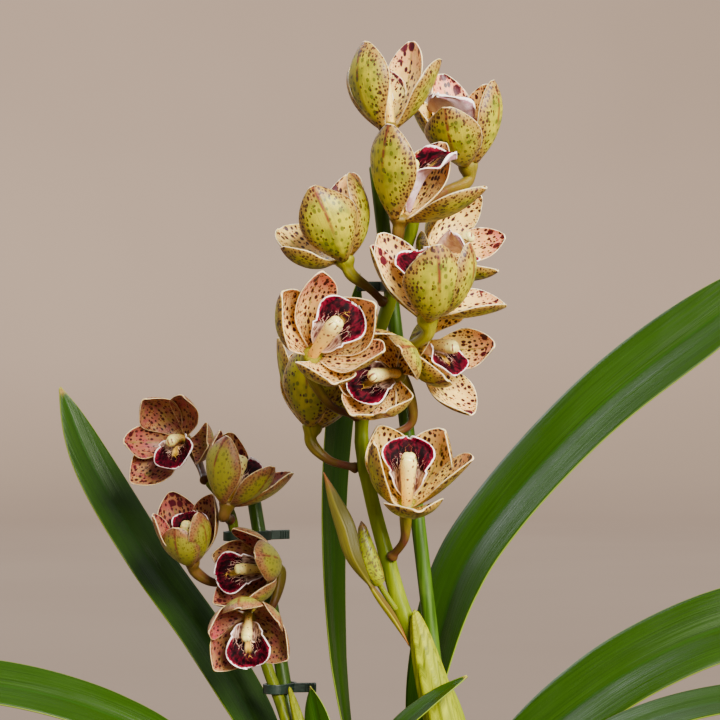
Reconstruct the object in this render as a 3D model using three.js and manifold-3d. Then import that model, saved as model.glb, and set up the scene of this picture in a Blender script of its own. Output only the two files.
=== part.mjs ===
// A potted orchid of the boat-orchid kind: two flower spikes tied to stakes, strap leaves and
// pseudobulbs in bark. Millimetres, +Z up, with the origin in the middle of the pot's base.
import * as THREE from "three";
import { mergeVertices } from "three/addons/utils/BufferGeometryUtils.js";
import Module from "manifold-3d";

// ---- Driving dimensions ----

const CLEARANCE = 0.35; // gap between neighbouring pieces
const SMALLEST_FACET = 0.05;

const POT_HEIGHT = 142;
const POT_TOP_RADIUS = 78;
const POT_BASE_RADIUS = 56;
const POT_WALL = 3;
const POT_RIM = 3.5; // how far the rim stands out
const POT_RIM_DEPTH = 16;
const POT_FLOOR = 4;
const DRAIN_RADIUS = 6;
const DRAIN_CIRCLE = 34; // radius of the circle that the drain holes stand on
const DRAIN_HOLES = 4;
const BARK_TOP = 125;
const BARK_CHIPS = 22;
const CHIP_SEED = 11;
const CHIP_SPREAD = 62; // radius of the area that the loose chips lie in
const CHIP_GAP = 10; // room kept between a chip's middle and what stands in the bark

const SEPAL_LENGTH = 49;
const SEPAL_WIDTH = 35;
const PETAL_LENGTH = 46;
const PETAL_WIDTH = 26;
const TEPAL_THICKNESS = 1;
const SEPAL_CUP = 58; // degrees from the midrib to each edge
const PETAL_CUP = 46;
const LIP_LENGTH = 31;
const LIP_START = 3.4; // distance of the lip's foot from the bloom's axis, and its height
const LIP_THICKNESS = 1;
const LIP_BEND = 0.42; // share of the lip below its drooping lobe
const COLUMN_LENGTH = 27;
const COLUMN_FOOT = 1;
const COLUMN_BOW = 3.8; // how far the column's end leans to the lip
const TEPAL_START = 4.4; // distance of each sepal's and petal's foot from the bloom's axis
const SEPAL_RISE = 0.2;
const PETAL_RISE = 1.6; // petals stand inside the sepals
const RECEPTACLE_RADIUS = 6;
const RECEPTACLE_TOP = 2.6;
const STALK_RADIUS = 2.1;
const OVARY_RADIUS = 3;
const OVARY_DROP = 7; // height of the ovary's lower end below the bloom's base

const LEAF_THICKNESS = 1;
const STAKE_RADIUS = 3.7;
const STAKE_DEPTH = 75; // how deep the stakes stand in the bark
const MAIN_SPIKE_RADIUS = [5.4, 3.3]; // at the foot and at the top
const LEFT_SPIKE_RADIUS = [3.8, 2.6];
const MAIN_SHEATH_RADIUS = 10.5;
const LEFT_SHEATH_RADIUS = 4.8;
const BUD_RADIUS = [1.5, 5]; // of its stalk and at its widest
const BUD_STALK = 0.3; // share of the bud's length that is stalk
const BRACT_HALF_WIDTH = 5; // in its upper part
const BRACT_FOOT_HALF_WIDTH = 2;
const BULB_HEIGHT = 46;
const BULB_RADIUS = 17;
const BULB_SUNK = 12;
const CLIP_HEIGHT = 5;
const CLIP_WALL = 1.4;
const CLIP_ROOM = 1.3; // between the stake and the clip's band
const GRIP_LENGTH = 12;
const GRIP_THICKNESS = 2.2;

// ---- Colours ----

const finish = (color, roughness) => new THREE.MeshStandardMaterial({ color, roughness, metalness: 0 });

const BLOOM = finish(0xa9a53c, 0.45);
const LEFT_BLOOM = finish(0x9c7a3f, 0.45);
const LIP = finish(0x5a0f22, 0.5);
const LEAF = finish(0x1f4a12, 0.35);
const STEM = finish(0x8fa83a, 0.45);
const BRACT_GREEN = finish(0xa8ad4e, 0.55);
const STAKE = finish(0x2c5a2c, 0.4);
const CLIP = finish(0x14251c, 0.4);
const BULB = finish(0x6f8440, 0.5);
const POT = finish(0x6b4a35, 0.6);
const BARK = finish(0x54392a, 0.9);

// ---- Points on the spikes ----

const MAIN_SPIKE = [
  [35, 0, 103], [34, 0, 130], [26, 0, 205], [17.5, 0, 275], [5, 0, 302], [-7.5, 0, 326], [-17.5, 0, 360],
  [-24, 0, 385], [-29, 0, 412], [-28, 0, 435], [-22.5, 0, 462], [-15, 0, 485], [-7.5, 0, 510],
  [-3.5, 0, 524], [-4, 0, 548],
];
const LEFT_SPIKE = [
  [-34, 24, 104], [-36, 28, 130], [-48, 42, 190], [-69.5, 66, 270], [-79, 74, 295], [-84, 79, 315],
  [-90, 83, 336], [-95.5, 85, 360], [-100, 85, 378], [-109, 85, 390],
];
const MAIN_SHEATH = [[24, -1, 225], [17, -4, 255], [11, -5.5, 276], [3, -6.5, 305], [-3, -6.3, 331]];
const LEFT_SHEATH = [[-48, 43, 205], [-55, 52, 238], [-60, 58, 260], [-67, 64, 285]];
const BUD = [[-12.5, -5.5, 331], [-20, -9, 343], [-24, -12.5, 352], [-27, -14.5, 362], [-29.3, -15, 375]];
const BRACT = [
  [-5.6, -6.5, 313], [-12.8, -9, 326], [-24.5, -15, 343], [-33, -19.5, 358], [-37.4, -17, 373],
  [-42.9, -12, 386], [-48, -7, 399],
];

// ---- The blooms ----
// base is where the sepals meet, facing is the way the column points and lip the side the lip is on.
// stalk lists the points from the spike to the ovary. angles, flare and curl hold one number each for
// the top sepal, the left and right petal, and the left and right lower sepal, in degrees.

const ANGLES = [90, 162, 18, 234, 306];
const FLARE = [68, 68, 68, 70, 70];
const CURL = [90, 85, 85, 90, 90];
const EVEN = [1, 1, 1, 1, 1];
const REFLEX = 55; // how far the lip's lobe bends back

const MAIN_BLOOMS = {
  top: {
    base: [-16, 2, 571], facing: [-0.05, 0.03, 0.99], lip: [-0.9, 0.35, 0],
    angles: [118, 166, 205, 250, 332], flare: [56, 45, 52, 58, 54], curl: [40, 40, 45, 60, 86],
    length: [0.86, 1.08, 0.8, 0.8, 0.98], reflex: 5, stalk: [[-4.5, 0, 549.3], [-8, 0, 556]],
  },
  upper_right: {
    base: [25, 29, 554], facing: [-0.05, -0.1, 0.99], lip: [-0.7, -0.6, 0], lipSize: 1.2,
    angles: [90, 162, 18, 210, 302], flare: [45, 42, 52, 56, 86], curl: [60, 30, 70, 42, 80],
    length: [0.9, 1.12, 1, 0.9, 0.98], reflex: 25, stalk: [[1, 2.5, 531], [12, 18, 540]],
  },
  upper_front: {
    base: [-10.5, -21.5, 524], facing: [0.12, -0.2, 0.97], lip: [1, 0.25, 0], lipSize: 1.25,
    angles: [126, 57, 15, 232, 306], flare: [44, 40, 46, 84, 60], curl: [58, 75, 58, 50, 56],
    length: [1.06, 0.85, 0.85, 0.95, 0.95], stalk: [[-8.5, -5.5, 507], [-11, -15, 513]],
  },
  upper_left: {
    base: [-37.5, -12, 504], facing: [-0.4, -0.05, 0.92], lip: [0, 1, 0], flare: [70, 70, 98, 50, 80],
    curl: [92, 95, 90, 25, 56], length: [1, 1, 0.7, 1, 0.95],
    stalk: [[-18.5, -3.5, 484], [-26, -10, 491]],
  },
  middle_front: {
    base: [3, -34, 475], facing: [-0.05, -0.3, 0.95], lip: [-0.1, 0.9, 0.35], size: 1.05,
    angles: [100, 148, 336, 190, 312], flare: [66, 72, 56, 98, 55], curl: [88, 92, 45, 20, 45],
    length: [1, 1, 0.88, 0.7, 0.92], stalk: [[-20, -4.5, 464], [-9, -19, 461]],
  },
  middle_back: {
    base: [5, 24, 510], facing: [0.8, -0.35, 0.35], lip: [0, -0.7, -0.7], size: 0.84,
    flare: [75, 75, 50, 100, 75], curl: [80, 85, 60, 65, 85], stalk: [[-7, 4, 498], [-5, 22, 499]],
  },
  middle_left: {
    base: [-53, -44, 457], facing: [0.35, -0.8, 0.5], lip: [0.6, 0.5, 0.6],
    angles: [130, 188, 332, 250, 22], flare: [70, 66, 62, 66, 70], curl: [50, 66, 70, 80, 70],
    length: [0.8, 0.95, 1, 0.9, 0.95], stalk: [[-31.5, -3.5, 427], [-45, -17, 433]],
  },
  middle_right: {
    base: [0, 4.5, 461], facing: [0.6, -0.7, 0.1], lip: [0, 0, -1], size: 0.88, lipSize: 0.96,
    angles: [90, 162, 352, 234, 286], flare: [68, 70, 54, 75, 85], curl: [85, 88, 60, 88, 60],
    length: [0.86, 0.8, 0.95, 1, 1], stalk: [[-20.5, 3, 452], [-9, 4, 453]],
  },
  lower_front: {
    base: [-12, -14, 447.5], facing: [-0.35, -0.92, 0.05], lip: [-0.7, 0.3, -0.55], size: 0.92,
    angles: [90, 155, 345, 225, 300], flare: [66, 66, 70, 68, 70], curl: [88, 85, 88, 88, 85],
    stalk: [[-22, -2, 415], [-4, 0, 424]],
  },
  lower_left: {
    base: [-54, 9, 421], facing: [0.1, 0.1, 0.98], lip: [0.2, 0.9, 0], flare: [68, 68, 42, 66, 66],
    curl: [90, 85, 38, 80, 80], stalk: [[-32, 2.2, 401], [-46, 7, 405]],
  },
  lowest: {
    base: [-7, -18, 383], facing: [0.03, -0.62, 0.78], lip: [0, 0.78, 0.62],
    angles: [98, 160, 18, 225, 306], flare: [66, 43, 54, 60, 66], curl: [34, 15, 72, 60, 68],
    length: [0.8, 1.05, 1.05, 0.86, 0.86], stalk: [[-14, -4.5, 357], [-8, -11, 366]],
  },
};

const LEFT_BLOOMS = {
  left_top: {
    base: [-123.5, 98, 412], facing: [-0.3, -0.93, 0.1], lip: [0.3, 0, -0.85], size: 0.77, lipSize: 1.15,
    angles: [105, 168, 50, 210, 330], flare: [75, 80, 72, 86, 80], curl: [80, 80, 70, 66, 85],
    stalk: [[-112, 87, 391.5], [-117, 103, 402]],
  },
  left_upper: {
    base: [-99, 58, 380], facing: [0.3, -0.1, 0.95], lip: [0.2, 0.9, 0.2], size: 0.85,
    angles: [60, 145, 350, 200, 305], flare: [62, 66, 60, 72, 68], curl: [85, 60, 80, 55, 80],
    length: [1, 0.9, 1, 0.88, 1], stalk: [[-98.5, 80.5, 371], [-100, 70, 373]],
  },
  left_middle: {
    base: [-118, 74, 349], facing: [-0.15, -0.5, 0.85], lip: [0.3, 0.8, 0.4], size: 0.78,
    flare: [54, 50, 46, 58, 60], curl: [80, 75, 50, 62, 56], length: [0.85, 1, 0.95, 1, 1],
    stalk: [[-94, 83, 338], [-108, 80, 338]],
  },
  left_lower: {
    base: [-76, 72, 345], facing: [-0.7, -0.7, 0.1], lip: [-0.65, 0.65, -0.35], size: 0.77, lipSize: 1.15,
    flare: [72, 75, 75, 78, 78], curl: [88, 88, 85, 85, 85], length: [1, 1, 1, 0.88, 1],
    stalk: [[-84.5, 75, 319], [-76, 70, 326]],
  },
  left_lowest: {
    base: [-87, 48, 323], facing: [-0.05, -0.92, -0.35], lip: [0.1, 0.2, -1], size: 0.74, lipSize: 1.2,
    angles: [95, 165, 23, 225, 323], flare: [72, 76, 72, 81, 80], curl: [88, 88, 80, 72, 75],
    length: [0.9, 0.95, 1, 0.95, 0.95], reflex: 75, stalk: [[-84, 72.6, 308], [-88, 62, 315]],
  },
};

// ---- The leaves ----
// path runs from the leaf's foot to its tip, up is the way its upper face looks there and at its tip.

const LEAVES = {
  left_high: {
    path: [
      [-56, 18, 172], [-70, 58, 215], [-88, 92, 264], [-114, 108, 305], [-145, 122, 347], [-178, 140, 400],
      [-195, 148, 440],
    ],
    up: [[0.5, -0.6, 0.3], [0.6, -0.7, 0.4]], width: 32,
  },
  left_low: {
    path: [
      [-62, 5, 172], [-90, -6, 220], [-125, -10, 263], [-210, -18, 294], [-290, -24, 289], [-345, -28, 262],
    ],
    up: [[0.7, -0.4, 0.4], [0, -0.5, 0.9]], width: 32,
  },
  left_front: {
    path: [[-54, 0, 172], [-70, -30, 222], [-100, -78, 252], [-138, -124, 240], [-170, -162, 198]],
    up: [[0.3, 0.7, 0.4], [-0.1, -0.1, 0.9]], width: 27,
  },
  left_back: {
    path: [[-61, 12, 172], [-106, 44, 216], [-150, 88, 238], [-195, 134, 224], [-228, 168, 184]],
    up: [[0.5, -0.5, 0.5], [-0.1, 0.1, 0.9]], width: 27,
  },
  dark_tip: {
    path: [[-44, 7, 172], [-45, 3, 215], [-49, 4, 262], [-55, 9, 291]],
    up: [[-0.2, -0.9, 0.1], [-0.5, -0.8, 0.1]], width: 17,
  },
  centre_tall: {
    path: [[-10, 52, 172], [-28, 46, 220], [-39, 44, 269], [-45, 46, 350], [-43, 50, 415], [-30, 58, 500]],
    up: [[1, 0.05, 0], [0.6, -0.8, 0]], width: 22,
  },
  right_high: {
    path: [
      [1, 42, 172], [3, 39, 235], [8, 42, 295], [21, 45, 342], [42, 48, 375], [94, 56, 430], [158, 64, 479],
      [205, 70, 512],
    ],
    up: [[-0.85, -0.45, 0.15], [-0.3, -0.85, 0.45]], width: 41,
  },
  back: {
    path: [[-1, 59, 172], [4, 100, 222], [10, 152, 246], [15, 214, 228], [18, 262, 180]],
    up: [[0, -0.8, 0.4], [0, 0.2, 0.9]], width: 28,
  },
  right_middle: {
    path: [
      [8, 50, 173], [31, 41, 224], [54, 36, 254], [95, 35, 287], [124, 36, 304], [156, 39, 317],
      [226, 46, 332], [286, 53, 334],
    ],
    up: [[-0.6, -0.6, 0.4], [-0.4, -0.8, 0.5]], width: 44,
  },
  right_low: {
    path: [[9, -12, 172], [42, -20, 222], [88, -26, 266], [150, -34, 288], [215, -44, 287], [268, -52, 258]],
    up: [[-0.7, -0.3, 0.5], [0, -0.3, 0.9]], width: 29,
  },
  young_tip: {
    path: [[-5, -15, 172], [-14, -19, 215], [-18, -22, 248], [-12, -23, 271], [3, -23, 285], [23, -21, 299]],
    up: [[-0.2, -0.9, 0.1], [-0.55, -0.3, 0.75]], width: 15,
  },
  right_front: {
    path: [[4, -17, 172], [30, -56, 222], [56, -102, 246], [80, -150, 228], [98, -188, 184]],
    up: [[-0.3, 0.7, 0.4], [0.1, -0.2, 0.9]], width: 27,
  },
};

const BULBS = { bulb_front: [0, -8], bulb_left: [-52, 9], bulb_back: [-2, 50] };

const STAKES = {
  stake_main: [[37.3, 9.5, BARK_TOP - STAKE_DEPTH], [-21.8, 16, 552]],
  stake_left: [[-29, 36.5, BARK_TOP - STAKE_DEPTH], [-88.5, 98, 392]],
};

// Each clip goes round a spike and its stake, and has a handle on one side.
const CLIPS = {
  clip_main: { height: 492, spike: "spike_main", stake: "stake_main", handle: [-1, 0, 0] },
  clip_left_upper: { height: 362, spike: "spike_left", stake: "stake_left", handle: [0.86, 0.5, 0] },
  clip_left_lower: { height: 283, spike: "spike_left", stake: "stake_left", handle: [1, 0.1, 0] },
};

// ---- Solids ----

const wasm = await Module();
wasm.setup();

const vector = (point) => new THREE.Vector3(...point);
const radians = THREE.MathUtils.degToRad;
const smoothCurve = (points) => new THREE.CatmullRomCurve3(points.map(vector), false, "centripetal");

function toSolid(geometry) {
  const bare = geometry.clone();
  bare.deleteAttribute("normal");
  bare.deleteAttribute("uv");
  const merged = mergeVertices(bare, 1e-3);
  const vertProperties = new Float32Array(merged.attributes.position.array);
  const triVerts = new Uint32Array(merged.index.array);
  return new wasm.Manifold(new wasm.Mesh({ numProp: 3, vertProperties, triVerts }));
}

function toGeometry(solid) {
  const mesh = solid.getMesh();
  const geometry = new THREE.BufferGeometry();
  geometry.setAttribute("position", new THREE.BufferAttribute(mesh.vertProperties, 3));
  geometry.setIndex(new THREE.BufferAttribute(mesh.triVerts, 1));
  return geometry;
}

// The outer skin of the largest body, without loose scraps or sealed hollows.
function wholeBody(solid) {
  const bodies = solid.decompose();
  return bodies.reduce((best, body) => (body.volume() > best.volume() ? body : best));
}

// One body from overlapping pieces, with the tiny facets where they meet merged away.
function fuse(geometries) {
  const sum = geometries.map(toSolid).reduce((joined, solid) => joined.add(solid));
  return wholeBody(sum.asOriginal().simplify(SMALLEST_FACET));
}

// A round body bent along a curve, with radiusAt(share) giving its radius from foot to tip.
function limb(curve, radiusAt, sides, rings) {
  const geometry = new THREE.CylinderGeometry(1, 1, 1, sides, rings);
  const frames = curve.computeFrenetFrames(rings, false);
  const position = geometry.attributes.position;
  for (let i = 0; i < position.count; i++) {
    const share = position.getY(i) + 0.5;
    const ring = Math.round(share * rings);
    const radius = radiusAt(share);
    const point = curve.getPointAt(share);
    point.addScaledVector(frames.normals[ring], position.getX(i) * radius);
    point.addScaledVector(frames.binormals[ring], -position.getZ(i) * radius);
    position.setXYZ(i, point.x, point.y, point.z);
  }
  return geometry;
}

// A closed blade of even thickness: surface(across, along) gives a point and the face's normal there,
// with across from -1 to 1 and along from 0 to 1. Both faces are split along the same diagonals.
function blade(surface, columns, rows, thickness) {
  const plane = new THREE.PlaneGeometry(2, 1, columns, rows);
  const count = plane.attributes.position.count;
  const points = [];
  for (const side of [0.5, -0.5]) {
    for (let i = 0; i < count; i++) {
      const across = plane.attributes.position.getX(i);
      const along = plane.attributes.position.getY(i) + 0.5;
      const { point, normal } = surface(across, along);
      points.push(...point.clone().addScaledVector(normal, side * thickness));
    }
  }
  const face = [...plane.index.array];
  const back = face.map((vertex) => vertex + count).reverse();
  const triangles = [...face, ...back];
  const edge = borderOf(columns, rows);
  edge.forEach((vertex, i) => {
    const next = edge[(i + 1) % edge.length];
    triangles.push(vertex, next, vertex + count, next, next + count, vertex + count);
  });
  const geometry = new THREE.BufferGeometry();
  geometry.setAttribute("position", new THREE.Float32BufferAttribute(points, 3));
  geometry.setIndex(triangles);
  return geometry;
}

// The border vertices of a plane's grid, once round.
function borderOf(columns, rows) {
  const at = (column, row) => row * (columns + 1) + column;
  const border = [];
  for (let column = 0; column < columns; column++) border.push(at(column, 0));
  for (let row = 0; row < rows; row++) border.push(at(columns, row));
  for (let column = columns; column > 0; column--) border.push(at(column, rows));
  for (let row = rows; row > 0; row--) border.push(at(0, row));
  return border;
}

// ---- Bloom parts, in the bloom's own frame: +Z is the way it faces, -Y the side its lip is on ----

const tepalShare = (along) => Math.sin(Math.PI * (0.02 + 0.965 * along ** 1.3)) ** 0.65;

// One sepal or petal: an arc that starts flared and curls back in, cupped across its width.
function tepal({ length, width, angle, flare, curl, cup, rise }) {
  const outward = new THREE.Vector3(Math.cos(radians(angle)), Math.sin(radians(angle)), 0);
  const sideways = new THREE.Vector3(outward.y, -outward.x, 0);
  const axis = new THREE.Vector3(0, 0, 1);
  const bend = length / radians(curl);
  const fold = radians(cup);
  const surface = (across, share) => {
    const along = 1 - (1 - share) ** 1.3;
    const lean = radians(flare - curl * along);
    const reach = TEPAL_START + bend * (Math.cos(lean) - Math.cos(radians(flare)));
    const height = rise + bend * (Math.sin(radians(flare)) - Math.sin(lean));
    const half = 0.5 * width * tepalShare(along);
    const inward = outward.clone().multiplyScalar(-Math.cos(lean)).addScaledVector(axis, Math.sin(lean));
    const swing = fold * across;
    const point = outward.clone().multiplyScalar(reach).addScaledVector(axis, height);
    point.addScaledVector(sideways, (half / fold) * Math.sin(swing));
    point.addScaledVector(inward, (half / fold) * (1 - Math.cos(swing)));
    const normal = inward.multiplyScalar(Math.cos(swing)).addScaledVector(sideways, -Math.sin(swing));
    return { point, normal };
  };
  return blade(surface, 3, 4, TEPAL_THICKNESS);
}

const lipLean = (along, reflex) =>
  radians(14 + 10 * along + reflex * Math.max(0, (along - LIP_BEND) / (1 - LIP_BEND)) ** 1.1);

// Half the lip's width: side lobes below the bend, then the round drooping lobe.
function lipHalf(along) {
  if (along < 0.5) return 2.8 + 10.2 * Math.sin(Math.PI * along);
  const lobe = (along - 0.5) / 0.5;
  return 11.5 + 2.5 * Math.sin(Math.PI * lobe) - 9.5 * lobe ** 4;
}

// The lip: a trough with raised side lobes that opens into a wavy lobe.
function lip(reflex) {
  const steps = 24;
  const step = LIP_LENGTH / steps;
  const spine = [[0, LIP_START]];
  for (let i = 0; i < steps; i++) {
    const lean = lipLean((i + 0.5) / steps, reflex);
    const [reach, height] = spine[i];
    spine.push([reach + step * Math.sin(lean), height + step * Math.cos(lean)]);
  }
  const surface = (across, along) => {
    const index = Math.min(Math.floor(along * steps), steps - 1);
    const part = along * steps - index;
    const reach = LIP_START + THREE.MathUtils.lerp(spine[index][0], spine[index + 1][0], part);
    const height = THREE.MathUtils.lerp(spine[index][1], spine[index + 1][1], part);
    const lean = lipLean(along, reflex);
    const open = THREE.MathUtils.clamp((along - LIP_BEND) / 0.25, 0, 1);
    const fold = radians(95 - 68 * open);
    const half = lipHalf(along);
    const wave = open * 0.9 * Math.abs(across) * Math.sin(9 * along + 5 * across);
    const swing = fold * across;
    const inward = new THREE.Vector3(0, Math.cos(lean), Math.sin(lean));
    const point = new THREE.Vector3(-(half / fold) * Math.sin(swing), -reach, height);
    point.addScaledVector(inward, (half / fold) * (1 - Math.cos(swing)) + wave);
    const normal = inward.multiplyScalar(Math.cos(swing));
    normal.x += Math.sin(swing);
    return { point, normal };
  };
  return blade(surface, 4, 4, LIP_THICKNESS);
}

// The column leans over the lip and swells to its cap.
function column() {
  const points = [0, 0.35, 0.7, 1].map((share) => {
    return [0, 1.2 - COLUMN_BOW * share * share, COLUMN_FOOT + COLUMN_LENGTH * share];
  });
  const radiusAt = (share) => (share > 0.99 ? 3.4 : 2.6 + 1.8 * share ** 2);
  return limb(smoothCurve(points), radiusAt, 5, 3);
}

// Ovary and stalk, from the spike to the receptacle that the sepals stand on.
function stalk(points, size) {
  const radiusAt = (share) => {
    if (share > 0.9) return RECEPTACLE_RADIUS * size;
    return THREE.MathUtils.lerp(STALK_RADIUS, OVARY_RADIUS, share);
  };
  return limb(smoothCurve(points), radiusAt, 6, 5);
}

function tepals(spec) {
  return (spec.angles ?? ANGLES).map((angle, i) => {
    const isPetal = i === 1 || i === 2;
    return tepal({
      angle,
      length: (isPetal ? PETAL_LENGTH : SEPAL_LENGTH) * (spec.length ?? EVEN)[i],
      width: isPetal ? PETAL_WIDTH : SEPAL_WIDTH,
      cup: isPetal ? PETAL_CUP : SEPAL_CUP,
      flare: (spec.flare ?? FLARE)[i],
      curl: (spec.curl ?? CURL)[i],
      rise: isPetal ? PETAL_RISE : SEPAL_RISE,
    });
  });
}

// The turn that takes the bloom's own frame to the way it faces.
function bloomTurn(spec) {
  const facing = vector(spec.facing).normalize();
  const lipward = vector(spec.lip);
  lipward.addScaledVector(facing, -lipward.dot(facing)).normalize();
  const up = lipward.clone().negate();
  const right = up.clone().cross(facing);
  return new THREE.Quaternion().setFromRotationMatrix(new THREE.Matrix4().makeBasis(right, up, facing));
}

function addBloom(name, spec, material) {
  const size = spec.size ?? 1;
  const group = new THREE.Group();
  group.position.set(...spec.base);
  group.quaternion.copy(bloomTurn(spec));
  const turnBack = group.quaternion.clone().invert();
  const toOwnFrame = (point) => vector(point).sub(group.position).applyQuaternion(turnBack);
  const stalkPoints = spec.stalk.map((point) => toOwnFrame(point).toArray());
  const ovaryFoot = [0, 0, -OVARY_DROP * size];
  const foot = [0, 0, RECEPTACLE_TOP * size];
  const pieces = [...tepals(spec), column()].map((piece) => piece.scale(size, size, size));
  pieces.push(stalk([...stalkPoints, ovaryFoot, foot], size));
  group.add(named(`bloom_${name}`, toGeometry(fuse(pieces)), material));
  const lipSize = size * (spec.lipSize ?? 1);
  group.add(named(`lip_${name}`, lip(spec.reflex ?? REFLEX).scale(lipSize, lipSize, lipSize), LIP));
  plant.add(group);
}

// ---- Leaves, spikes and what holds them ----

// A strap leaf, folded along its midrib, widest past its middle and drawn out to a point.
function strapLeaf({ path, up, width }) {
  const curve = smoothCurve(path);
  const [upFoot, upTip] = up.map((direction) => vector(direction).normalize());
  const surface = (across, along) => {
    const point = curve.getPointAt(along);
    const tangent = curve.getTangentAt(along);
    const normal = upFoot.clone().lerp(upTip, along);
    normal.addScaledVector(tangent, -normal.dot(tangent)).normalize();
    const sideways = tangent.cross(normal).normalize();
    const half = 0.5 * width * leafShare(along);
    const crease = radians(THREE.MathUtils.lerp(38, 10, Math.min(1, along * 2.5)));
    point.addScaledVector(sideways, half * across * Math.cos(crease));
    point.addScaledVector(normal, half * Math.abs(across) * Math.sin(crease));
    return { point, normal };
  };
  return blade(surface, 2, 11, LEAF_THICKNESS);
}

const leafShare = (along) => {
  const swell = 0.3 + 0.7 * THREE.MathUtils.smoothstep(along, 0, 0.45);
  return swell * Math.max(1 - Math.max(0, (along - 0.68) / 0.32) ** 3.5, 0.04);
};

function mainSpikeRadius(share) {
  return THREE.MathUtils.lerp(...MAIN_SPIKE_RADIUS, THREE.MathUtils.smoothstep(share, 0.25, 0.75));
}

const leftSpikeRadius = (share) => THREE.MathUtils.lerp(...LEFT_SPIKE_RADIUS, share);

// A sheath that hugs the spike and ends in a point.
function sheath(points, widest) {
  const radiusAt = (share) => widest * (share > 0.99 ? 0.1 : Math.sqrt(1 - share ** 2) * 0.85 + 0.15);
  return limb(smoothCurve(points), radiusAt, 6, 4);
}

// A short stalk, then a swelling that ends in a point.
function bud() {
  const radiusAt = (share) => {
    const along = (share - BUD_STALK) / (1 - BUD_STALK);
    if (along < 0) return BUD_RADIUS[0];
    if (along > 0.99) return 0.4;
    return THREE.MathUtils.lerp(...BUD_RADIUS, Math.sin(Math.PI * (0.08 + 0.92 * along) ** 0.8));
  };
  return limb(smoothCurve(BUD), radiusAt, 8, 8);
}

// The long bract beside the bud: a narrow foot that points down, then a blade bowed across its width.
function bract() {
  const curve = smoothCurve(BRACT);
  const surface = (across, along) => {
    const point = curve.getPointAt(along);
    const tangent = curve.getTangentAt(along);
    const normal = new THREE.Vector3(-0.2, -0.95, -0.2);
    normal.addScaledVector(tangent, -normal.dot(tangent)).normalize();
    const foot = BRACT_FOOT_HALF_WIDTH * Math.sin(Math.PI * Math.min(along / 0.45, 1));
    const upper = BRACT_HALF_WIDTH * Math.sin((Math.PI * Math.max(along - 0.34, 0)) / 0.66);
    const half = Math.max(foot, upper, 0.4);
    point.addScaledVector(tangent.cross(normal), half * across);
    point.addScaledVector(normal, 0.5 * half * (1 - across * across));
    return { point, normal };
  };
  return blade(surface, 2, 10, LEAF_THICKNESS);
}

const grown = (radiusAt) => (share) => radiusAt(share) + 1.3 * CLEARANCE;

function bulb([x, y], spare) {
  const half = BULB_HEIGHT / 2;
  const low = BARK_TOP - BULB_SUNK;
  const outline = [
    [0, 0], [0.55, 0], [0.88, 0.5 * half], [1, half], [0.9, 1.5 * half], [0.66, 2 * half], [0, 2 * half],
  ].map(([share, height]) => new THREE.Vector2(share * (BULB_RADIUS + spare), height));
  const geometry = new THREE.LatheGeometry(outline, 12);
  geometry.rotateX(Math.PI / 2);
  geometry.scale(1, 0.9, (BULB_HEIGHT + BULB_SUNK) / BULB_HEIGHT);
  return geometry.translate(x, y, low - spare);
}

function pot() {
  const inner = (height) => potRadius(height) - POT_WALL;
  const underRim = POT_HEIGHT - POT_RIM_DEPTH;
  const outline = [
    [0, 0], [potRadius(0), 0], [potRadius(underRim), underRim],
    [potRadius(underRim) + POT_RIM, underRim + 1.5], [POT_TOP_RADIUS + POT_RIM, POT_HEIGHT],
    [inner(POT_HEIGHT), POT_HEIGHT], [inner(POT_FLOOR), POT_FLOOR], [0, POT_FLOOR],
  ].map(([radius, height]) => new THREE.Vector2(radius, height));
  let body = toSolid(new THREE.LatheGeometry(outline, 28).rotateX(Math.PI / 2));
  for (let i = 0; i < DRAIN_HOLES; i++) {
    const turn = ((i + 0.5) / DRAIN_HOLES) * 2 * Math.PI;
    const hole = new THREE.CylinderGeometry(DRAIN_RADIUS, DRAIN_RADIUS, 3 * POT_FLOOR, 12);
    hole.rotateX(Math.PI / 2).translate(DRAIN_CIRCLE * Math.cos(turn), DRAIN_CIRCLE * Math.sin(turn), 0);
    body = body.subtract(toSolid(hole));
  }
  return toGeometry(wholeBody(body));
}

const potRadius = (height) => THREE.MathUtils.lerp(POT_BASE_RADIUS, POT_TOP_RADIUS, height / POT_HEIGHT);

// The same small draws on every run.
function draws(seed) {
  let state = seed;
  return (low, high) => {
    state = (state * 16807) % 2147483647;
    return low + ((high - low) * state) / 2147483647;
  };
}

// Bark fills the pot to BARK_TOP, with chips standing out of it and holes for all that stands in it.
function bark(standing) {
  const wall = (height) => potRadius(height) - POT_WALL - CLEARANCE;
  const floor = POT_FLOOR + CLEARANCE;
  const outline = [[0, floor], [wall(floor), floor], [wall(BARK_TOP), BARK_TOP], [0, BARK_TOP]].map(
    ([radius, height]) => new THREE.Vector2(radius, height),
  );
  let body = toSolid(new THREE.LatheGeometry(outline, 28).rotateX(Math.PI / 2));
  const draw = draws(CHIP_SEED);
  let placed = 0;
  while (placed < BARK_CHIPS) {
    const radius = CHIP_SPREAD * Math.sqrt(draw(0.01, 1));
    const turn = draw(0, 2 * Math.PI);
    const place = new THREE.Vector3(radius * Math.cos(turn), radius * Math.sin(turn), BARK_TOP + 0.5);
    const chip = new THREE.BoxGeometry(draw(9, 16), draw(6, 10), draw(5, 8));
    chip.rotateX(draw(-0.35, 0.35)).rotateY(draw(-0.35, 0.35)).rotateZ(draw(0, Math.PI));
    const isClear = ({ x, y, reach }) => Math.hypot(place.x - x, place.y - y) > reach + CHIP_GAP;
    if (!standing.every(isClear)) continue;
    body = body.add(toSolid(chip.translate(place.x, place.y, place.z)));
    placed += 1;
  }
  for (const { hole } of standing) {
    body = body.subtract(toSolid(hole.translate(0, 0, -CLEARANCE)));
  }
  return toGeometry(wholeBody(body));
}

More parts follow.
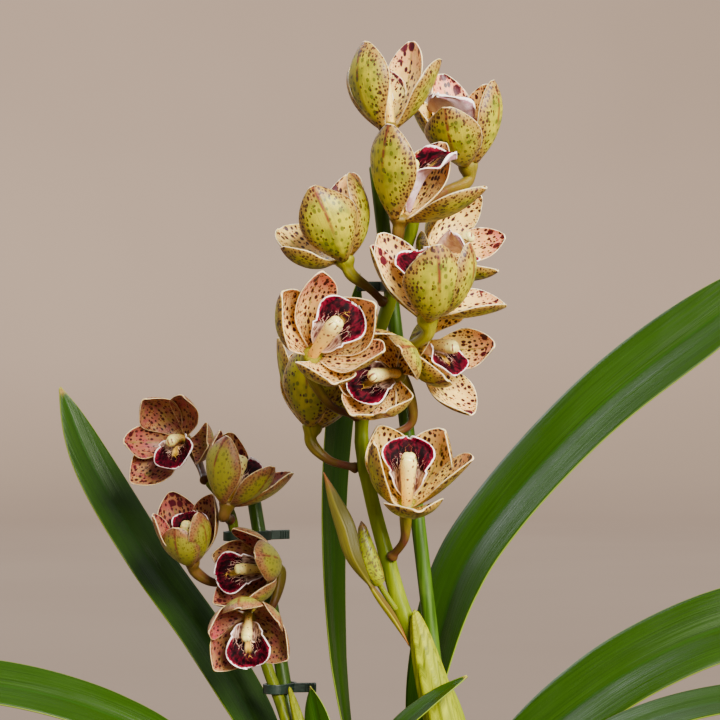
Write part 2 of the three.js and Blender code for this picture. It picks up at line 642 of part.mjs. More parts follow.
// A clip's band, long enough to take the spike and the stake side by side, with a flat handle.
function clip({ height, spike, stake, handle }) {
  const front = pointAtHeight(spike, height);
  const behind = pointAtHeight(stake, height);
  const middle = front.clone().add(behind).multiplyScalar(0.5);
  const along = new THREE.Vector3(behind.x - front.x, behind.y - front.y, 0);
  const apart = along.length();
  const inner = STAKE_RADIUS + CLIP_ROOM;
  const band = capsule(apart, inner + CLIP_WALL);
  band.holes.push(capsule(apart, inner));
  const flat = { depth: CLIP_HEIGHT, bevelEnabled: false, curveSegments: 4 };
  const ring = new THREE.ExtrudeGeometry(band, flat);
  ring.translate(0, 0, -CLIP_HEIGHT / 2);
  ring.rotateZ(Math.atan2(along.y, along.x));
  const direction = vector(handle).normalize();
  const reach = bandReach(along, direction, inner + CLIP_WALL / 2);
  const grip = new THREE.BoxGeometry(GRIP_LENGTH, GRIP_THICKNESS, CLIP_HEIGHT);
  grip.translate(reach + GRIP_LENGTH / 2, 0, 0);
  grip.rotateZ(Math.atan2(direction.y, direction.x));
  return toGeometry(fuse([ring, grip])).translate(middle.x, middle.y, height);
}

// The distance from a clip's middle, in one direction, to the middle of its band.
function bandReach(along, direction, radius) {
  const half = along.clone().multiplyScalar(0.5);
  const core = new THREE.Line3(half.clone().negate(), half);
  let reach = 0;
  let offset = 0;
  while (offset < radius) {
    reach += 0.05;
    const point = direction.clone().multiplyScalar(reach);
    offset = point.distanceTo(core.closestPointToPoint(point, true, new THREE.Vector3()));
  }
  return reach;
}

// An outline with two parallel sides and round ends.
function capsule(apart, radius) {
  const shape = new THREE.Shape();
  shape.absarc(apart / 2, 0, radius, -Math.PI / 2, Math.PI / 2);
  shape.absarc(-apart / 2, 0, radius, Math.PI / 2, 1.5 * Math.PI);
  shape.closePath();
  return shape;
}

function pointAtHeight(name, height) {
  const curve = uprights[name];
  let low = 0;
  let high = 1;
  for (let i = 0; i < 30; i++) {
    const middle = (low + high) / 2;
    if (curve.getPointAt(middle).z < height) low = middle;
    else high = middle;
  }
  return curve.getPointAt(low);
}

// ---- Assembly ----

const plant = new THREE.Group();

function named(name, geometry, material) {
  const mesh = new THREE.Mesh(geometry, material);
  mesh.name = name;
  return mesh;
}

const uprights = {
  spike_main: smoothCurve(MAIN_SPIKE),
  spike_left: smoothCurve(LEFT_SPIKE),
  stake_main: new THREE.LineCurve3(...STAKES.stake_main.map(vector)),
  stake_left: new THREE.LineCurve3(...STAKES.stake_left.map(vector)),
};

const mainSheath = sheath(MAIN_SHEATH, MAIN_SHEATH_RADIUS);
const leftSheath = sheath(LEFT_SHEATH, LEFT_SHEATH_RADIUS);
const mainSpike = limb(uprights.spike_main, mainSpikeRadius, 8, 22);
const leftSpike = limb(uprights.spike_left, leftSpikeRadius, 7, 14);
plant.add(named("spike_main", toGeometry(fuse([mainSpike, mainSheath])), STEM));
plant.add(named("spike_left", toGeometry(fuse([leftSpike, leftSheath])), STEM));

plant.add(named("bud", bud(), BLOOM));
plant.add(named("bract", bract(), BRACT_GREEN));

for (const name of ["stake_main", "stake_left"]) {
  plant.add(named(name, limb(uprights[name], () => STAKE_RADIUS, 10, 1), STAKE));
}
for (const [name, spec] of Object.entries(CLIPS)) plant.add(named(name, clip(spec), CLIP));
for (const [name, place] of Object.entries(BULBS)) plant.add(named(name, bulb(place, 0), BULB));
for (const [name, spec] of Object.entries(LEAVES)) plant.add(named(`leaf_${name}`, strapLeaf(spec), LEAF));
for (const [name, spec] of Object.entries(MAIN_BLOOMS)) addBloom(name, spec, BLOOM);
for (const [name, spec] of Object.entries(LEFT_BLOOMS)) addBloom(name, spec, LEFT_BLOOM);

const standing = [
  { x: 34, y: 5, reach: 10, hole: limb(uprights.spike_main, grown(mainSpikeRadius), 8, 22) },
  { x: -36, y: 27, reach: 4, hole: limb(uprights.spike_left, grown(leftSpikeRadius), 7, 14) },
  { x: 28, y: 10, reach: 4, hole: limb(uprights.stake_main, grown(() => STAKE_RADIUS), 10, 1) },
  { x: -42, y: 50, reach: 4, hole: limb(uprights.stake_left, grown(() => STAKE_RADIUS), 10, 1) },
  ...Object.values(BULBS).map((place) => {
    return { x: place[0], y: place[1], reach: BULB_RADIUS, hole: bulb(place, CLEARANCE) };
  }),
];
plant.add(named("bark", bark(standing), BARK));
plant.add(named("pot", pot(), POT));

export default plant;
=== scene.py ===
import math
import random
from bisect import bisect_left

import bmesh
import bpy
from bpy.props import FloatProperty, FloatVectorProperty, IntProperty, PointerProperty
from mathutils import Matrix, Vector, noise


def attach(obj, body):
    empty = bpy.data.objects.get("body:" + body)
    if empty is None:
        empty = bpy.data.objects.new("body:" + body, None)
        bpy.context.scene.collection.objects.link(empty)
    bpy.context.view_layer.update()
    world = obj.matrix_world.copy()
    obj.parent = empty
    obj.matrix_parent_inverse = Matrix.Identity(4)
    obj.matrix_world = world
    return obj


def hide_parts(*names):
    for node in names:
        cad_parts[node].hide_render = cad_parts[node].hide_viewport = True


bl_info = {
    "name": "Potted Orchid",
    "version": (1, 0, 0),
    "blender": (4, 5, 0),
    "location": "3D View > Sidebar > Orchid",
    "description": "Builds a potted boat orchid with its blooms, leaves, stakes, pot and a plain studio",
    "category": "Add Mesh",
}

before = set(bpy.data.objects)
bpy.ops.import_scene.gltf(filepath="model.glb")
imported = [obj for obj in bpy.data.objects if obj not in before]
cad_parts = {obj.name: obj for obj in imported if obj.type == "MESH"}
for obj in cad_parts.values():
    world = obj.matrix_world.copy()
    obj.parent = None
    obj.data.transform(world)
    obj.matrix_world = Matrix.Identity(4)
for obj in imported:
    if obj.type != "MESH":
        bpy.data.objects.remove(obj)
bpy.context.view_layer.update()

MM = 0.001  # shapes are worked out in millimetres and written in metres

# ---- The plant's own measures, the same as its solids' ----

BLOOM = {
    "angles": (90, 162, 18, 234, 306),
    "flare": (68, 68, 68, 70, 70),
    "curl": (90, 85, 85, 90, 90),
    "length": (1, 1, 1, 1, 1),
    "size": 1,
    "lip_size": 1,
    "reflex": 55,
    "ruddy": 0.3,
}
# base is where the sepals meet, facing is the way the column points and lip the side the lip is on.
# angles, flare and curl hold one number each for the top sepal, the left and right petal, and the left
# and right lower sepal, in degrees.
MAIN_BLOOMS = {
    "top": dict(
        base=(-16, 2, 571), ruddy=0.12, facing=(-0.05, 0.03, 0.99), lip=(-0.9, 0.35, 0),
        angles=(118, 166, 205, 250, 332), flare=(56, 45, 52, 58, 54), curl=(40, 40, 45, 60, 86),
        length=(0.86, 1.08, 0.8, 0.8, 0.98), reflex=5, stalk=((-4.5, 0, 549.3), (-8, 0, 556))),
    "upper_right": dict(
        base=(25, 29, 554), facing=(-0.05, -0.1, 0.99), lip=(-0.7, -0.6, 0), lip_size=1.2,
        angles=(90, 162, 18, 210, 302), flare=(45, 42, 52, 56, 86), curl=(60, 30, 70, 42, 80),
        length=(0.9, 1.12, 1, 0.9, 0.98), reflex=25, stalk=((1, 2.5, 531), (12, 18, 540))),
    "upper_front": dict(
        base=(-10.5, -21.5, 524), ruddy=0.6, facing=(0.12, -0.2, 0.97), lip=(1, 0.25, 0), lip_size=1.25,
        angles=(126, 57, 15, 232, 306), flare=(44, 40, 46, 84, 60), curl=(58, 75, 58, 50, 56),
        length=(1.06, 0.85, 0.85, 0.95, 0.95), stalk=((-8.5, -5.5, 507), (-11, -15, 513))),
    "upper_left": dict(
        base=(-37.5, -12, 504), facing=(-0.4, -0.05, 0.92), lip=(0, 1, 0), flare=(70, 70, 98, 50, 80),
        curl=(92, 95, 90, 25, 56), length=(1, 1, 0.7, 1, 0.95),
        stalk=((-18.5, -3.5, 484), (-26, -10, 491))),
    "middle_front": dict(
        base=(3, -34, 475), ruddy=0.4, facing=(-0.05, -0.3, 0.95), lip=(-0.1, 0.9, 0.35), size=1.05,
        angles=(100, 148, 336, 190, 312), flare=(66, 72, 56, 98, 55), curl=(88, 92, 45, 20, 45),
        length=(1, 1, 0.88, 0.7, 0.92), stalk=((-20, -4.5, 464), (-9, -19, 461))),
    "middle_back": dict(
        base=(5, 24, 510), ruddy=0.2, facing=(0.8, -0.35, 0.35), lip=(0, -0.7, -0.7), size=0.84,
        flare=(75, 75, 50, 100, 75), curl=(80, 85, 60, 65, 85), stalk=((-7, 4, 498), (-5, 22, 499))),
    "middle_left": dict(
        base=(-53, -44, 457), ruddy=0.8, facing=(0.35, -0.8, 0.5), lip=(0.6, 0.5, 0.6),
        angles=(130, 188, 332, 250, 22), flare=(70, 66, 62, 66, 70), curl=(50, 66, 70, 80, 70),
        length=(0.8, 0.95, 1, 0.9, 0.95), stalk=((-31.5, -3.5, 427), (-45, -17, 433))),
    "middle_right": dict(
        base=(0, 4.5, 461), ruddy=0.1, facing=(0.6, -0.7, 0.1), lip=(0, 0, -1), size=0.88, lip_size=0.96,
        angles=(90, 162, 352, 234, 286), flare=(68, 70, 54, 75, 85), curl=(85, 88, 60, 88, 60),
        length=(0.86, 0.8, 0.95, 1, 1), stalk=((-20.5, 3, 452), (-9, 4, 453))),
    "lower_front": dict(
        base=(-12, -14, 447.5), ruddy=0.7, facing=(-0.35, -0.92, 0.05), lip=(-0.7, 0.3, -0.55), size=0.92,
        angles=(90, 155, 345, 225, 300), flare=(66, 66, 70, 68, 70), curl=(88, 85, 88, 88, 85),
        stalk=((-22, -2, 415), (-4, 0, 424))),
    "lower_left": dict(
        base=(-54, 9, 421), ruddy=0.5, facing=(0.1, 0.1, 0.98), lip=(0.2, 0.9, 0), flare=(68, 68, 42, 66, 66),
        curl=(90, 85, 38, 80, 80), stalk=((-32, 2.2, 401), (-46, 7, 405))),
    "lowest": dict(
        base=(-7, -18, 383), ruddy=0.1, facing=(0.03, -0.62, 0.78), lip=(0, 0.78, 0.62),
        angles=(98, 160, 18, 225, 306), flare=(66, 43, 54, 60, 66), curl=(34, 15, 72, 60, 68),
        length=(0.8, 1.05, 1.05, 0.86, 0.86), stalk=((-14, -4.5, 357), (-8, -11, 366))),
}
LEFT_BLOOMS = {
    "left_top": dict(
        base=(-123.5, 98, 412), facing=(-0.3, -0.93, 0.1), lip=(0.3, 0, -0.85), size=0.77, lip_size=1.15,
        angles=(105, 168, 50, 210, 330), flare=(75, 80, 72, 86, 80), curl=(80, 80, 70, 66, 85),
        stalk=((-112, 87, 391.5), (-117, 103, 402))),
    "left_upper": dict(
        base=(-99, 58, 380), facing=(0.3, -0.1, 0.95), lip=(0.2, 0.9, 0.2), size=0.85,
        angles=(60, 145, 350, 200, 305), flare=(62, 66, 60, 72, 68), curl=(85, 60, 80, 55, 80),
        length=(1, 0.9, 1, 0.88, 1), stalk=((-98.5, 80.5, 371), (-100, 70, 373))),
    "left_middle": dict(
        base=(-118, 74, 349), facing=(-0.15, -0.5, 0.85), lip=(0.3, 0.8, 0.4), size=0.78,
        flare=(54, 50, 46, 58, 60), curl=(80, 75, 50, 62, 56), length=(0.85, 1, 0.95, 1, 1),
        stalk=((-94, 83, 338), (-108, 80, 338))),
    "left_lower": dict(
        base=(-76, 72, 345), facing=(-0.7, -0.7, 0.1), lip=(-0.65, 0.65, -0.35), size=0.77,
        lip_size=1.15, flare=(72, 75, 75, 78, 78), curl=(88, 88, 85, 85, 85), length=(1, 1, 1, 0.88, 1),
        stalk=((-84.5, 75, 319), (-76, 70, 326))),
    "left_lowest": dict(
        base=(-87, 48, 323), facing=(-0.05, -0.92, -0.35), lip=(0.1, 0.2, -1), size=0.74, lip_size=1.2,
        angles=(95, 165, 23, 225, 323), flare=(72, 76, 72, 81, 80), curl=(88, 88, 80, 72, 75),
        length=(0.9, 0.95, 1, 0.95, 0.95), reflex=75, stalk=((-84, 72.6, 308), (-88, 62, 315))),
}

MAIN_SPIKE = (
    (35, 0, 103), (34, 0, 130), (26, 0, 205), (17.5, 0, 275), (5, 0, 302), (-7.5, 0, 326),
    (-17.5, 0, 360), (-24, 0, 385), (-29, 0, 412), (-28, 0, 435), (-22.5, 0, 462), (-15, 0, 485),
    (-7.5, 0, 510), (-3.5, 0, 524), (-4, 0, 548))
LEFT_SPIKE = (
    (-34, 24, 104), (-36, 28, 130), (-48, 42, 190), (-69.5, 66, 270), (-79, 74, 295), (-84, 79, 315),
    (-90, 83, 336), (-95.5, 85, 360), (-100, 85, 378), (-109, 85, 390))
MAIN_SHEATH = ((24, -1, 225), (17, -4, 255), (11, -5.5, 276), (3, -6.5, 305), (-3, -6.3, 331))
LEFT_SHEATH = ((-48, 43, 205), (-55, 52, 238), (-60, 58, 260), (-67, 64, 285))
# Each spike: its points, its radius at the foot and at the top, where along it the bare joints are, its
# blooms, and its sheath's points and radius.
SPIKES = {
    "main": dict(
        points=MAIN_SPIKE, radii=(5.4, 3.3), joints=(0.12, 0.2, 0.3), blooms=MAIN_BLOOMS,
        sheath=MAIN_SHEATH, sheath_radius=10.5),
    "left": dict(
        points=LEFT_SPIKE, radii=(3.8, 2.6), joints=(0.15, 0.3), blooms=LEFT_BLOOMS,
        sheath=LEFT_SHEATH, sheath_radius=4.8),
}
BUD = ((-12.5, -5.5, 331), (-20, -9, 343), (-24, -12.5, 352), (-27, -14.5, 362), (-29.3, -15, 375))
BRACT = (
    (-5.6, -6.5, 313), (-12.8, -9, 326), (-24.5, -15, 343), (-33, -19.5, 358), (-37.4, -17, 373),
    (-42.9, -12, 386), (-48, -7, 399))
STAKES = {
    "stake_main": ((37.3, 9.5, 50), (-21.8, 16, 552)),
    "stake_left": ((-29, 36.5, 50), (-88.5, 98, 392)),
}
CLIPS = {
    "clip_main": ("main", 492, (-1, 0, 0)),
    "clip_left_upper": ("left", 362, (0.86, 0.5, 0)),
    "clip_left_lower": ("left", 283, (1, 0.1, 0)),
}
BULBS = {"bulb_front": (0, -8), "bulb_left": (-52, 9), "bulb_back": (-2, 50)}

# Each leaf: the points from its foot to its tip, the way its upper face looks at both, its width, its bulb.
LEAVES = {
    "left_high": (
        ((-56, 18, 172), (-70, 58, 215), (-88, 92, 264), (-114, 108, 305), (-145, 122, 347),
        (-178, 140, 400), (-195, 148, 440)),
        (0.5, -0.6, 0.3), (0.6, -0.7, 0.4), 32, "bulb_left"),
    "left_low": (
        ((-62, 5, 172), (-90, -6, 220), (-125, -10, 263), (-210, -18, 294), (-290, -24, 289),
        (-345, -28, 262)),
        (0.7, -0.4, 0.4), (0, -0.5, 0.9), 32, "bulb_left"),
    "left_front": (
        ((-54, 0, 172), (-70, -30, 222), (-100, -78, 252), (-138, -124, 240), (-170, -162, 198)),
        (0.3, 0.7, 0.4), (-0.1, -0.1, 0.9), 27, "bulb_left"),
    "left_back": (
        ((-61, 12, 172), (-106, 44, 216), (-150, 88, 238), (-195, 134, 224), (-228, 168, 184)),
        (0.5, -0.5, 0.5), (-0.1, 0.1, 0.9), 27, "bulb_left"),
    "dark_tip": (
        ((-44, 7, 172), (-45, 3, 215), (-49, 4, 262), (-55, 9, 291)),
        (-0.2, -0.9, 0.1), (-0.5, -0.8, 0.1), 17, "bulb_left"),
    "centre_tall": (
        ((-10, 52, 172), (-28, 46, 220), (-39, 44, 269), (-45, 46, 350), (-43, 50, 415), (-30, 58, 500)),
        (1, 0.05, 0), (0.6, -0.8, 0), 22, "bulb_back"),
    "right_high": (
        ((1, 42, 172), (3, 39, 235), (8, 42, 295), (21, 45, 342), (42, 48, 375), (94, 56, 430),
        (158, 64, 479), (205, 70, 512)),
        (-0.85, -0.45, 0.15), (-0.3, -0.85, 0.45), 41, "bulb_back"),
    "back": (
        ((-1, 59, 172), (4, 100, 222), (10, 152, 246), (15, 214, 228), (18, 262, 180)),
        (0, -0.8, 0.4), (0, 0.2, 0.9), 28, "bulb_back"),
    "right_middle": (
        ((8, 50, 173), (31, 41, 224), (54, 36, 254), (95, 35, 287), (124, 36, 304), (156, 39, 317),
        (226, 46, 332), (286, 53, 334)),
        (-0.6, -0.6, 0.4), (-0.4, -0.8, 0.5), 44, "bulb_back"),
    "right_low": (
        ((9, -12, 172), (42, -20, 222), (88, -26, 266), (150, -34, 288), (215, -44, 287),
        (268, -52, 258)),
        (-0.7, -0.3, 0.5), (0, -0.3, 0.9), 29, "bulb_front"),
    "young_tip": (
        ((-5, -15, 172), (-14, -19, 215), (-18, -22, 248), (-12, -23, 271), (3, -23, 285),
        (23, -21, 299)),
        (-0.2, -0.9, 0.1), (-0.55, -0.3, 0.75), 15, "bulb_front"),
    "right_front": (
        ((4, -17, 172), (30, -56, 222), (56, -102, 246), (80, -150, 228), (98, -188, 184)),
        (-0.3, 0.7, 0.4), (0.1, -0.2, 0.9), 27, "bulb_front"),
}

SEPAL_CUP = 58  # degrees from the midrib to each edge
PETAL_CUP = 46
SEPAL_RISE = 0.2
PETAL_RISE = 1.6  # petals stand inside the sepals
TEPAL_START = 4.4  # distance of each sepal's and petal's foot from the bloom's axis
LIP_START = 3.4
LIP_BEND = 0.42  # share of the lip below its drooping lobe
COLUMN_BOW = 3.8  # how far the column's end leans to the lip
COLUMN_FOOT = (1.2, 1)  # where the column starts: off the bloom's axis, and above its base
CAP_RADIUS = 3.6
RECEPTACLE_RADIUS = 6
OVARY_DROP = 7  # height of the ovary's lower end below the bloom's base
STALK_RADIUS = 2
OVARY_RADIUS = 3.1
BUD_RADIUS = (1.5, 5)  # of its stalk and at its widest
BUD_STALK = 0.3  # share of the bud's length that is stalk
BRACT_HALF_WIDTH = 5
BRACT_FOOT_HALF_WIDTH = 2
BRACT_THICKNESS = 0.9
STAKE_RADIUS = 3.7
CLIP_WALL = 1.4
CLIP_ROOM = 1.3  # between the stake and the clip's band
CLIP_BEVEL = 0.35
GRIP_THICKNESS = 2.2
GRIP_RIDGES = 4
RIDGE_SIZE = (0.7, 3.0, 0.86)  # along and across the grip, and the share of its height
BARK_TOP = 125
BULB_HEIGHT = 46
BULB_RADIUS = 17
BULB_SUNK = 12
BULB_SQUASH = 0.9  # depth of a bulb as a share of its width
BULB_LAYER = 0.55  # from one leaf foot round a bulb to the next
OLD_SHEATHS = 3  # dry sheaths low round each bulb
POT_HEIGHT = 142
POT_TOP_RADIUS = 78
POT_BASE_RADIUS = 56
POT_WALL = 3
POT_RIM = 3.5  # how far the rim stands out
POT_RIM_DEPTH = 16
POT_FLOOR = 4
POT_FOOT = (20, 24, 28)  # heights of the two steps over the pot's foot, and of the plain side's start
DRAIN_RADIUS = 6
DRAIN_CIRCLE = 34  # radius of the circle that the drain holes stand on
DRAIN_HOLES = 4
BARK_GAP = 0.35  # between the bark and the pot
CHIP_SPREAD = 70  # radius of the area that the loose chips lie in
CHIP_REACH = 72.5  # as far out as a chip may reach
CHIP_UNEVEN = (0.14, 0.2, 0.18)  # how far each corner may stray, as shares of a chip's width
CHIP_BEVEL = 0.45
STEM_FEET = ((34, 0, 6), (-36, 28, 5), (23, 10, 5), (-42, 50, 5))  # places and radii kept free of chips
BLOOM_SEED, LEAF_SEED, BULB_SEED = 40, 70, 90

CAMERA_PLACE = (-0.03, 0.455)  # metres from the pot's middle: 3 cm to the left, and the height
FLOOR_OUTLINE = ((0, 0), (7, 0), (7.9, 0.12), (8.5, 0.5), (8.9, 1.2), (9, 2.4))  # radii and heights in metres


def paint(code):
    """A colour written as 0xRRGGBB, in the linear values that shaders take."""
    parts = [(code >> shift & 255) / 255 for shift in (16, 8, 0)]
    return tuple(c / 12.92 if c <= 0.04045 else ((c + 0.055) / 1.055) ** 2.4 for c in parts)


def lerp(low, high, share):
    return low + (high - low) * share


def clamp(value, low=0.0, high=1.0):
    return max(low, min(high, value))


def smoothstep(value, low, high):
    share = clamp((value - low) / (high - low))
    return share * share * (3 - 2 * share)


# ---- Settings ----

def colour_setting(name, description, code):
    return FloatVectorProperty(
        name=name, description=description, default=paint(code), subtype="COLOR", size=3, min=0, max=1)


def length_setting(name, description, default):
    return FloatProperty(name=name, description=description, default=default, min=0.0001, unit="LENGTH")


class OrchidFlowerSettings(bpy.types.PropertyGroup):
    """Sizes and colours of the blooms"""
    sepal_length: length_setting("Sepal Length", "Length of a sepal along its midrib", 0.049)
    sepal_width: length_setting("Sepal Width", "Width of a sepal laid flat", 0.035)
    petal_length: length_setting("Petal Length", "Length of a petal along its midrib", 0.046)
    petal_width: length_setting("Petal Width", "Width of a petal laid flat", 0.026)
    lip_length: length_setting("Lip Length", "Length of the lip along its middle", 0.031)
    column_length: length_setting("Column Length", "Length of the column", 0.027)
    tepal_thickness: length_setting("Petal Thickness", "Thickness in the middle of a petal", 0.001)
    lime: colour_setting("Lime", "Outside of the sepals near the middle", 0xB4AA04)
    olive: colour_setting("Olive", "Outside of the sepals near the edge", 0x9C7C2E)
    cream: colour_setting("Cream", "Inside of the sepals and petals", 0xF2D870)
    blush: colour_setting("Blush", "Pink flush on the inside of the petals", 0xE88078)
    maroon: colour_setting("Maroon", "Spots on the sepals and petals", 0x3A0410)
    rim: colour_setting("Rim", "Pale edge of the sepals and petals", 0xF4DDA8)
    lip_dark: colour_setting("Lip Velvet", "Velvet patches inside the lip", 0x0B0002)
    lip_crimson: colour_setting("Lip Crimson", "Glow round the velvet patches", 0x6E0420)
    lip_back: colour_setting("Lip Outside", "Outside of the lip", 0xE3C9CC)


class OrchidFoliageSettings(bpy.types.PropertyGroup):
    """Colours of the leaves and stems"""
    leaf_thickness: length_setting("Leaf Thickness", "Thickness of a leaf at its midrib", 0.001)
    leaf_green: colour_setting("Leaf Green", "Upper face of the leaves", 0x172E00)
    leaf_under: colour_setting("Leaf Underside", "Lower face of the leaves", 0x5E7E00)
    leaf_edge: colour_setting("Leaf Edge", "Thin pale edge of the leaves", 0x8E9E2A)
    stem_lime: colour_setting("Stem", "Flower spikes", 0x727E00)
    sheath_lime: colour_setting("Sheath", "Sheaths low on the spikes", 0x8E9600)


class OrchidSupportSettings(bpy.types.PropertyGroup):
    """Stakes and clips"""
    stake_green: colour_setting("Stake", "Colour of the stakes", 0x3C5A08)
    clip_green: colour_setting("Clip", "Colour of the clips", 0x16291F)
    clip_height: length_setting("Clip Height", "Height of a clip's band", 0.005)
    grip_length: length_setting("Grip Length", "Length of a clip's handle", 0.012)


class OrchidPotSettings(bpy.types.PropertyGroup):
    """Pot, bark and bulbs"""
    pot_brown: colour_setting("Pot", "Colour of the pot", 0x5E3E2C)
    bark_brown: colour_setting("Bark", "Colour of the bark chips", 0x4E2E18)
    chips: IntProperty(
        name="Chips", description="Number of loose bark chips", default=520, min=0, max=1500)
    seed: IntProperty(name="Seed", description="Draws the lie of the bark chips", default=11, min=0)


class OrchidStageSettings(bpy.types.PropertyGroup):
    """Floor, light and camera"""
    floor: colour_setting("Floor", "Colour of the plain floor", 0x6E6056)
    key: FloatProperty(name="Key", description="Strength of the key light", default=14.0, min=0)
    rim: FloatProperty(name="Rim", description="Strength of the light from behind", default=2.0, min=0)
    sky: FloatProperty(name="Sky", description="Strength of the light from all round", default=0.65, min=0)
    distance: length_setting("Camera Distance", "Distance from the camera to the plant", 1.5)
    view: length_setting("Camera View", "Width that the camera sees at the plant", 0.36)


# ---- Shapes ----

class Path:
    """A smooth line through points, followed by the share of its length."""
    DIVISIONS = 240

    def __init__(self, points):
        self.knots = [Vector(point) for point in points]
        self.samples = [self.knot_point(i / self.DIVISIONS) for i in range(self.DIVISIONS + 1)]
        self.lengths = [0.0]
        for first, second in zip(self.samples, self.samples[1:]):
            self.lengths.append(self.lengths[-1] + (second - first).length)
        self.length = self.lengths[-1]

    def knot_point(self, share):
        spans = len(self.knots) - 1
        place = share * spans
        index = min(int(place), spans - 1)
        near, far = self.knots[index], self.knots[index + 1]
        before = self.knots[index - 1] if index else near * 2 - far
        after = self.knots[index + 2] if index + 2 <= spans else far * 2 - near
        pairs = ((before, near), (near, far), (far, after))
        first, here, last = (max((b - a).length_squared ** 0.25, 1e-4) for a, b in pairs)
        leave = (near - before) / first - (far - before) / (first + here) + (far - near) / here
        reach = (far - near) / here - (after - near) / (here + last) + (after - far) / last
        leave, reach = leave * here, reach * here
        t = place - index
        return (
            near + leave * t + (3 * (far - near) - 2 * leave - reach) * t * t
            + (2 * (near - far) + leave + reach) * t * t * t)

    def at(self, share):
        wanted = clamp(share) * self.length
        index = min(max(bisect_left(self.lengths, wanted), 1), self.DIVISIONS)
        span = self.lengths[index] - self.lengths[index - 1]
        part = (wanted - self.lengths[index - 1]) / span if span else 0.0
        return self.samples[index - 1].lerp(self.samples[index], part)

    def tangent(self, share):
        return (self.at(share + 0.006) - self.at(share - 0.006)).normalized()

    def share_at_height(self, height):
        low, high = 0.0, 1.0
        for _ in range(30):
            middle = (low + high) / 2
            low, high = (middle, high) if self.at(middle).z < height else (low, middle)
        return low

    def frames(self, count):
        """A point, tangent and two crossing directions at even shares, turned as little as may be."""
        tangent = self.tangent(0)
        across = tangent.orthogonal().normalized()
        found = []
        for i in range(count + 1):
            share = i / count
            turned = self.tangent(share)
            across = (across - turned * across.dot(turned)).normalized()
            found.append((self.at(share), turned, across, turned.cross(across)))
        return found


def new_mesh():
    """An empty bmesh with the values that the materials read at each vertex."""
    bm = bmesh.new()
    bm.verts.layers.float_color.new("place")
    bm.verts.layers.float_vector.new("flat")
    bm.verts.layers.float.new("flush")
    return bm


def carried(bm):
    """The layers of those values: place, flat place and flush."""
    layers = bm.verts.layers
    return layers.float_color["place"], layers.float_vector["flat"], layers.float["flush"]


def dress(faces, material=0):
    """Marks faces as done, and makes them smooth and of one material."""
    for f in faces:
        f.tag = f.smooth = True
        f.material_index = material


def slab(bm, columns, rows, material):
    """A flat plate of one unit of thickness, from -1 to 1 across and along, ready to be bent."""
    bmesh.ops.create_grid(bm, x_segments=columns, y_segments=rows, size=1)
    plate = [f for f in bm.faces if not f.tag]
    bmesh.ops.solidify(bm, geom=plate, thickness=1)
    fresh = [f for f in bm.faces if not f.tag]
    bmesh.ops.recalc_face_normals(bm, faces=fresh)
    dress(fresh, material)
    verts = list({v for f in fresh for v in f.verts})
    middle = (max(v.co.z for v in verts) + min(v.co.z for v in verts)) / 2
    for v in verts:
        v.co.z -= middle
    return verts


def bend_blade(bm, surface, columns, rows, material=0, flush=0.0, ruddy=0.0, seed=0.0, turn=None):
    """A closed blade: surface(across, along) gives its point, normal, thickness, and flat place in mm."""
    place, flat, tint = carried(bm)
    for v in slab(bm, columns, rows, material):
        across, along, side = v.co.x, (v.co.y + 1) / 2, v.co.z
        point, normal, thickness, (x, y), rim = surface(across, along)
        co = point + normal * (side * thickness)
        v.co = turn @ co if turn else co
        v[place] = (1.0 if side > 0 else 0.0, rim / 10, along, ruddy)
        v[flat] = (x / 10, y / 10, seed)
        v[tint] = flush


def bend_tube(bm, path, radius_at, sides, rings, material=0, seed=0.0):
    """A round body along a path, rounded off at both ends. radius_at(share, turn) gives its radius."""
    place, flat, _ = carried(bm)
    rounding = 4  # rows of faces in each end
    rows = rings + 2 * rounding
    made = bmesh.ops.create_grid(bm, x_segments=sides, y_segments=rows, size=1)["verts"]
    faces = {f for v in made for f in v.link_faces}
    frames = path.frames(rings)
    for v in made:
        row = round((v.co.y + 1) / 2 * rows) - rounding
        turn = (v.co.x + 1) * math.pi
        ring = min(max(row, 0), rings)
        past = (row - ring) / rounding * math.pi / 2
        share = ring / rings
        point, tangent, across, aside = frames[ring]
        radius = radius_at(share, turn)
        spread = radius * max(math.cos(past), 0)
        v.co = (
            point + across * (math.cos(turn) * spread) + aside * (math.sin(turn) * spread)
            + tangent * (math.sin(past) * radius * 0.6))
        v[place] = (0.0, 1.0, share, 0.0)
        v[flat] = (turn * radius / 10, share * path.length / 10, seed)
    dress(faces, material)
    bmesh.ops.remove_doubles(bm, verts=made, dist=1e-4)
    bmesh.ops.recalc_face_normals(bm, faces=[f for f in faces if f.is_valid])


def spin_outline(bm, outline, steps, closeness):
    """Turns an outline of radii and heights once round the pot's axis."""
    points = [bm.verts.new((radius, 0, height)) for radius, height in outline]
    edges = [bm.edges.new(pair) for pair in zip(points, points[1:])]
    bmesh.ops.spin(
        bm, geom=points + edges, cent=(0, 0, 0), axis=(0, 0, 1), angle=2 * math.pi, steps=steps,
        use_merge=True)
    bmesh.ops.remove_doubles(bm, verts=bm.verts, dist=closeness)
    bmesh.ops.recalc_face_normals(bm, faces=bm.faces)
    dress(bm.faces)


def add_object(name, data):
    made = bpy.data.objects.new(name, data)
    bpy.context.scene.collection.objects.link(made)
    return made


def finish_piece(bm, name, materials, slot, *nodes):
    """Writes a bmesh in millimetres as a piece in metres that rides on the plant."""
    bmesh.ops.scale(bm, vec=(MM, MM, MM), verts=bm.verts)
    mesh = bpy.data.meshes.new(name)
    bm.to_mesh(mesh)
    bm.free()
    piece = add_object(name, mesh)
    for material in materials:
        mesh.materials.append(material)
    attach(piece, "root")
    if nodes:
        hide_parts(*nodes)
    return piece


# ---- Shader recipes ----

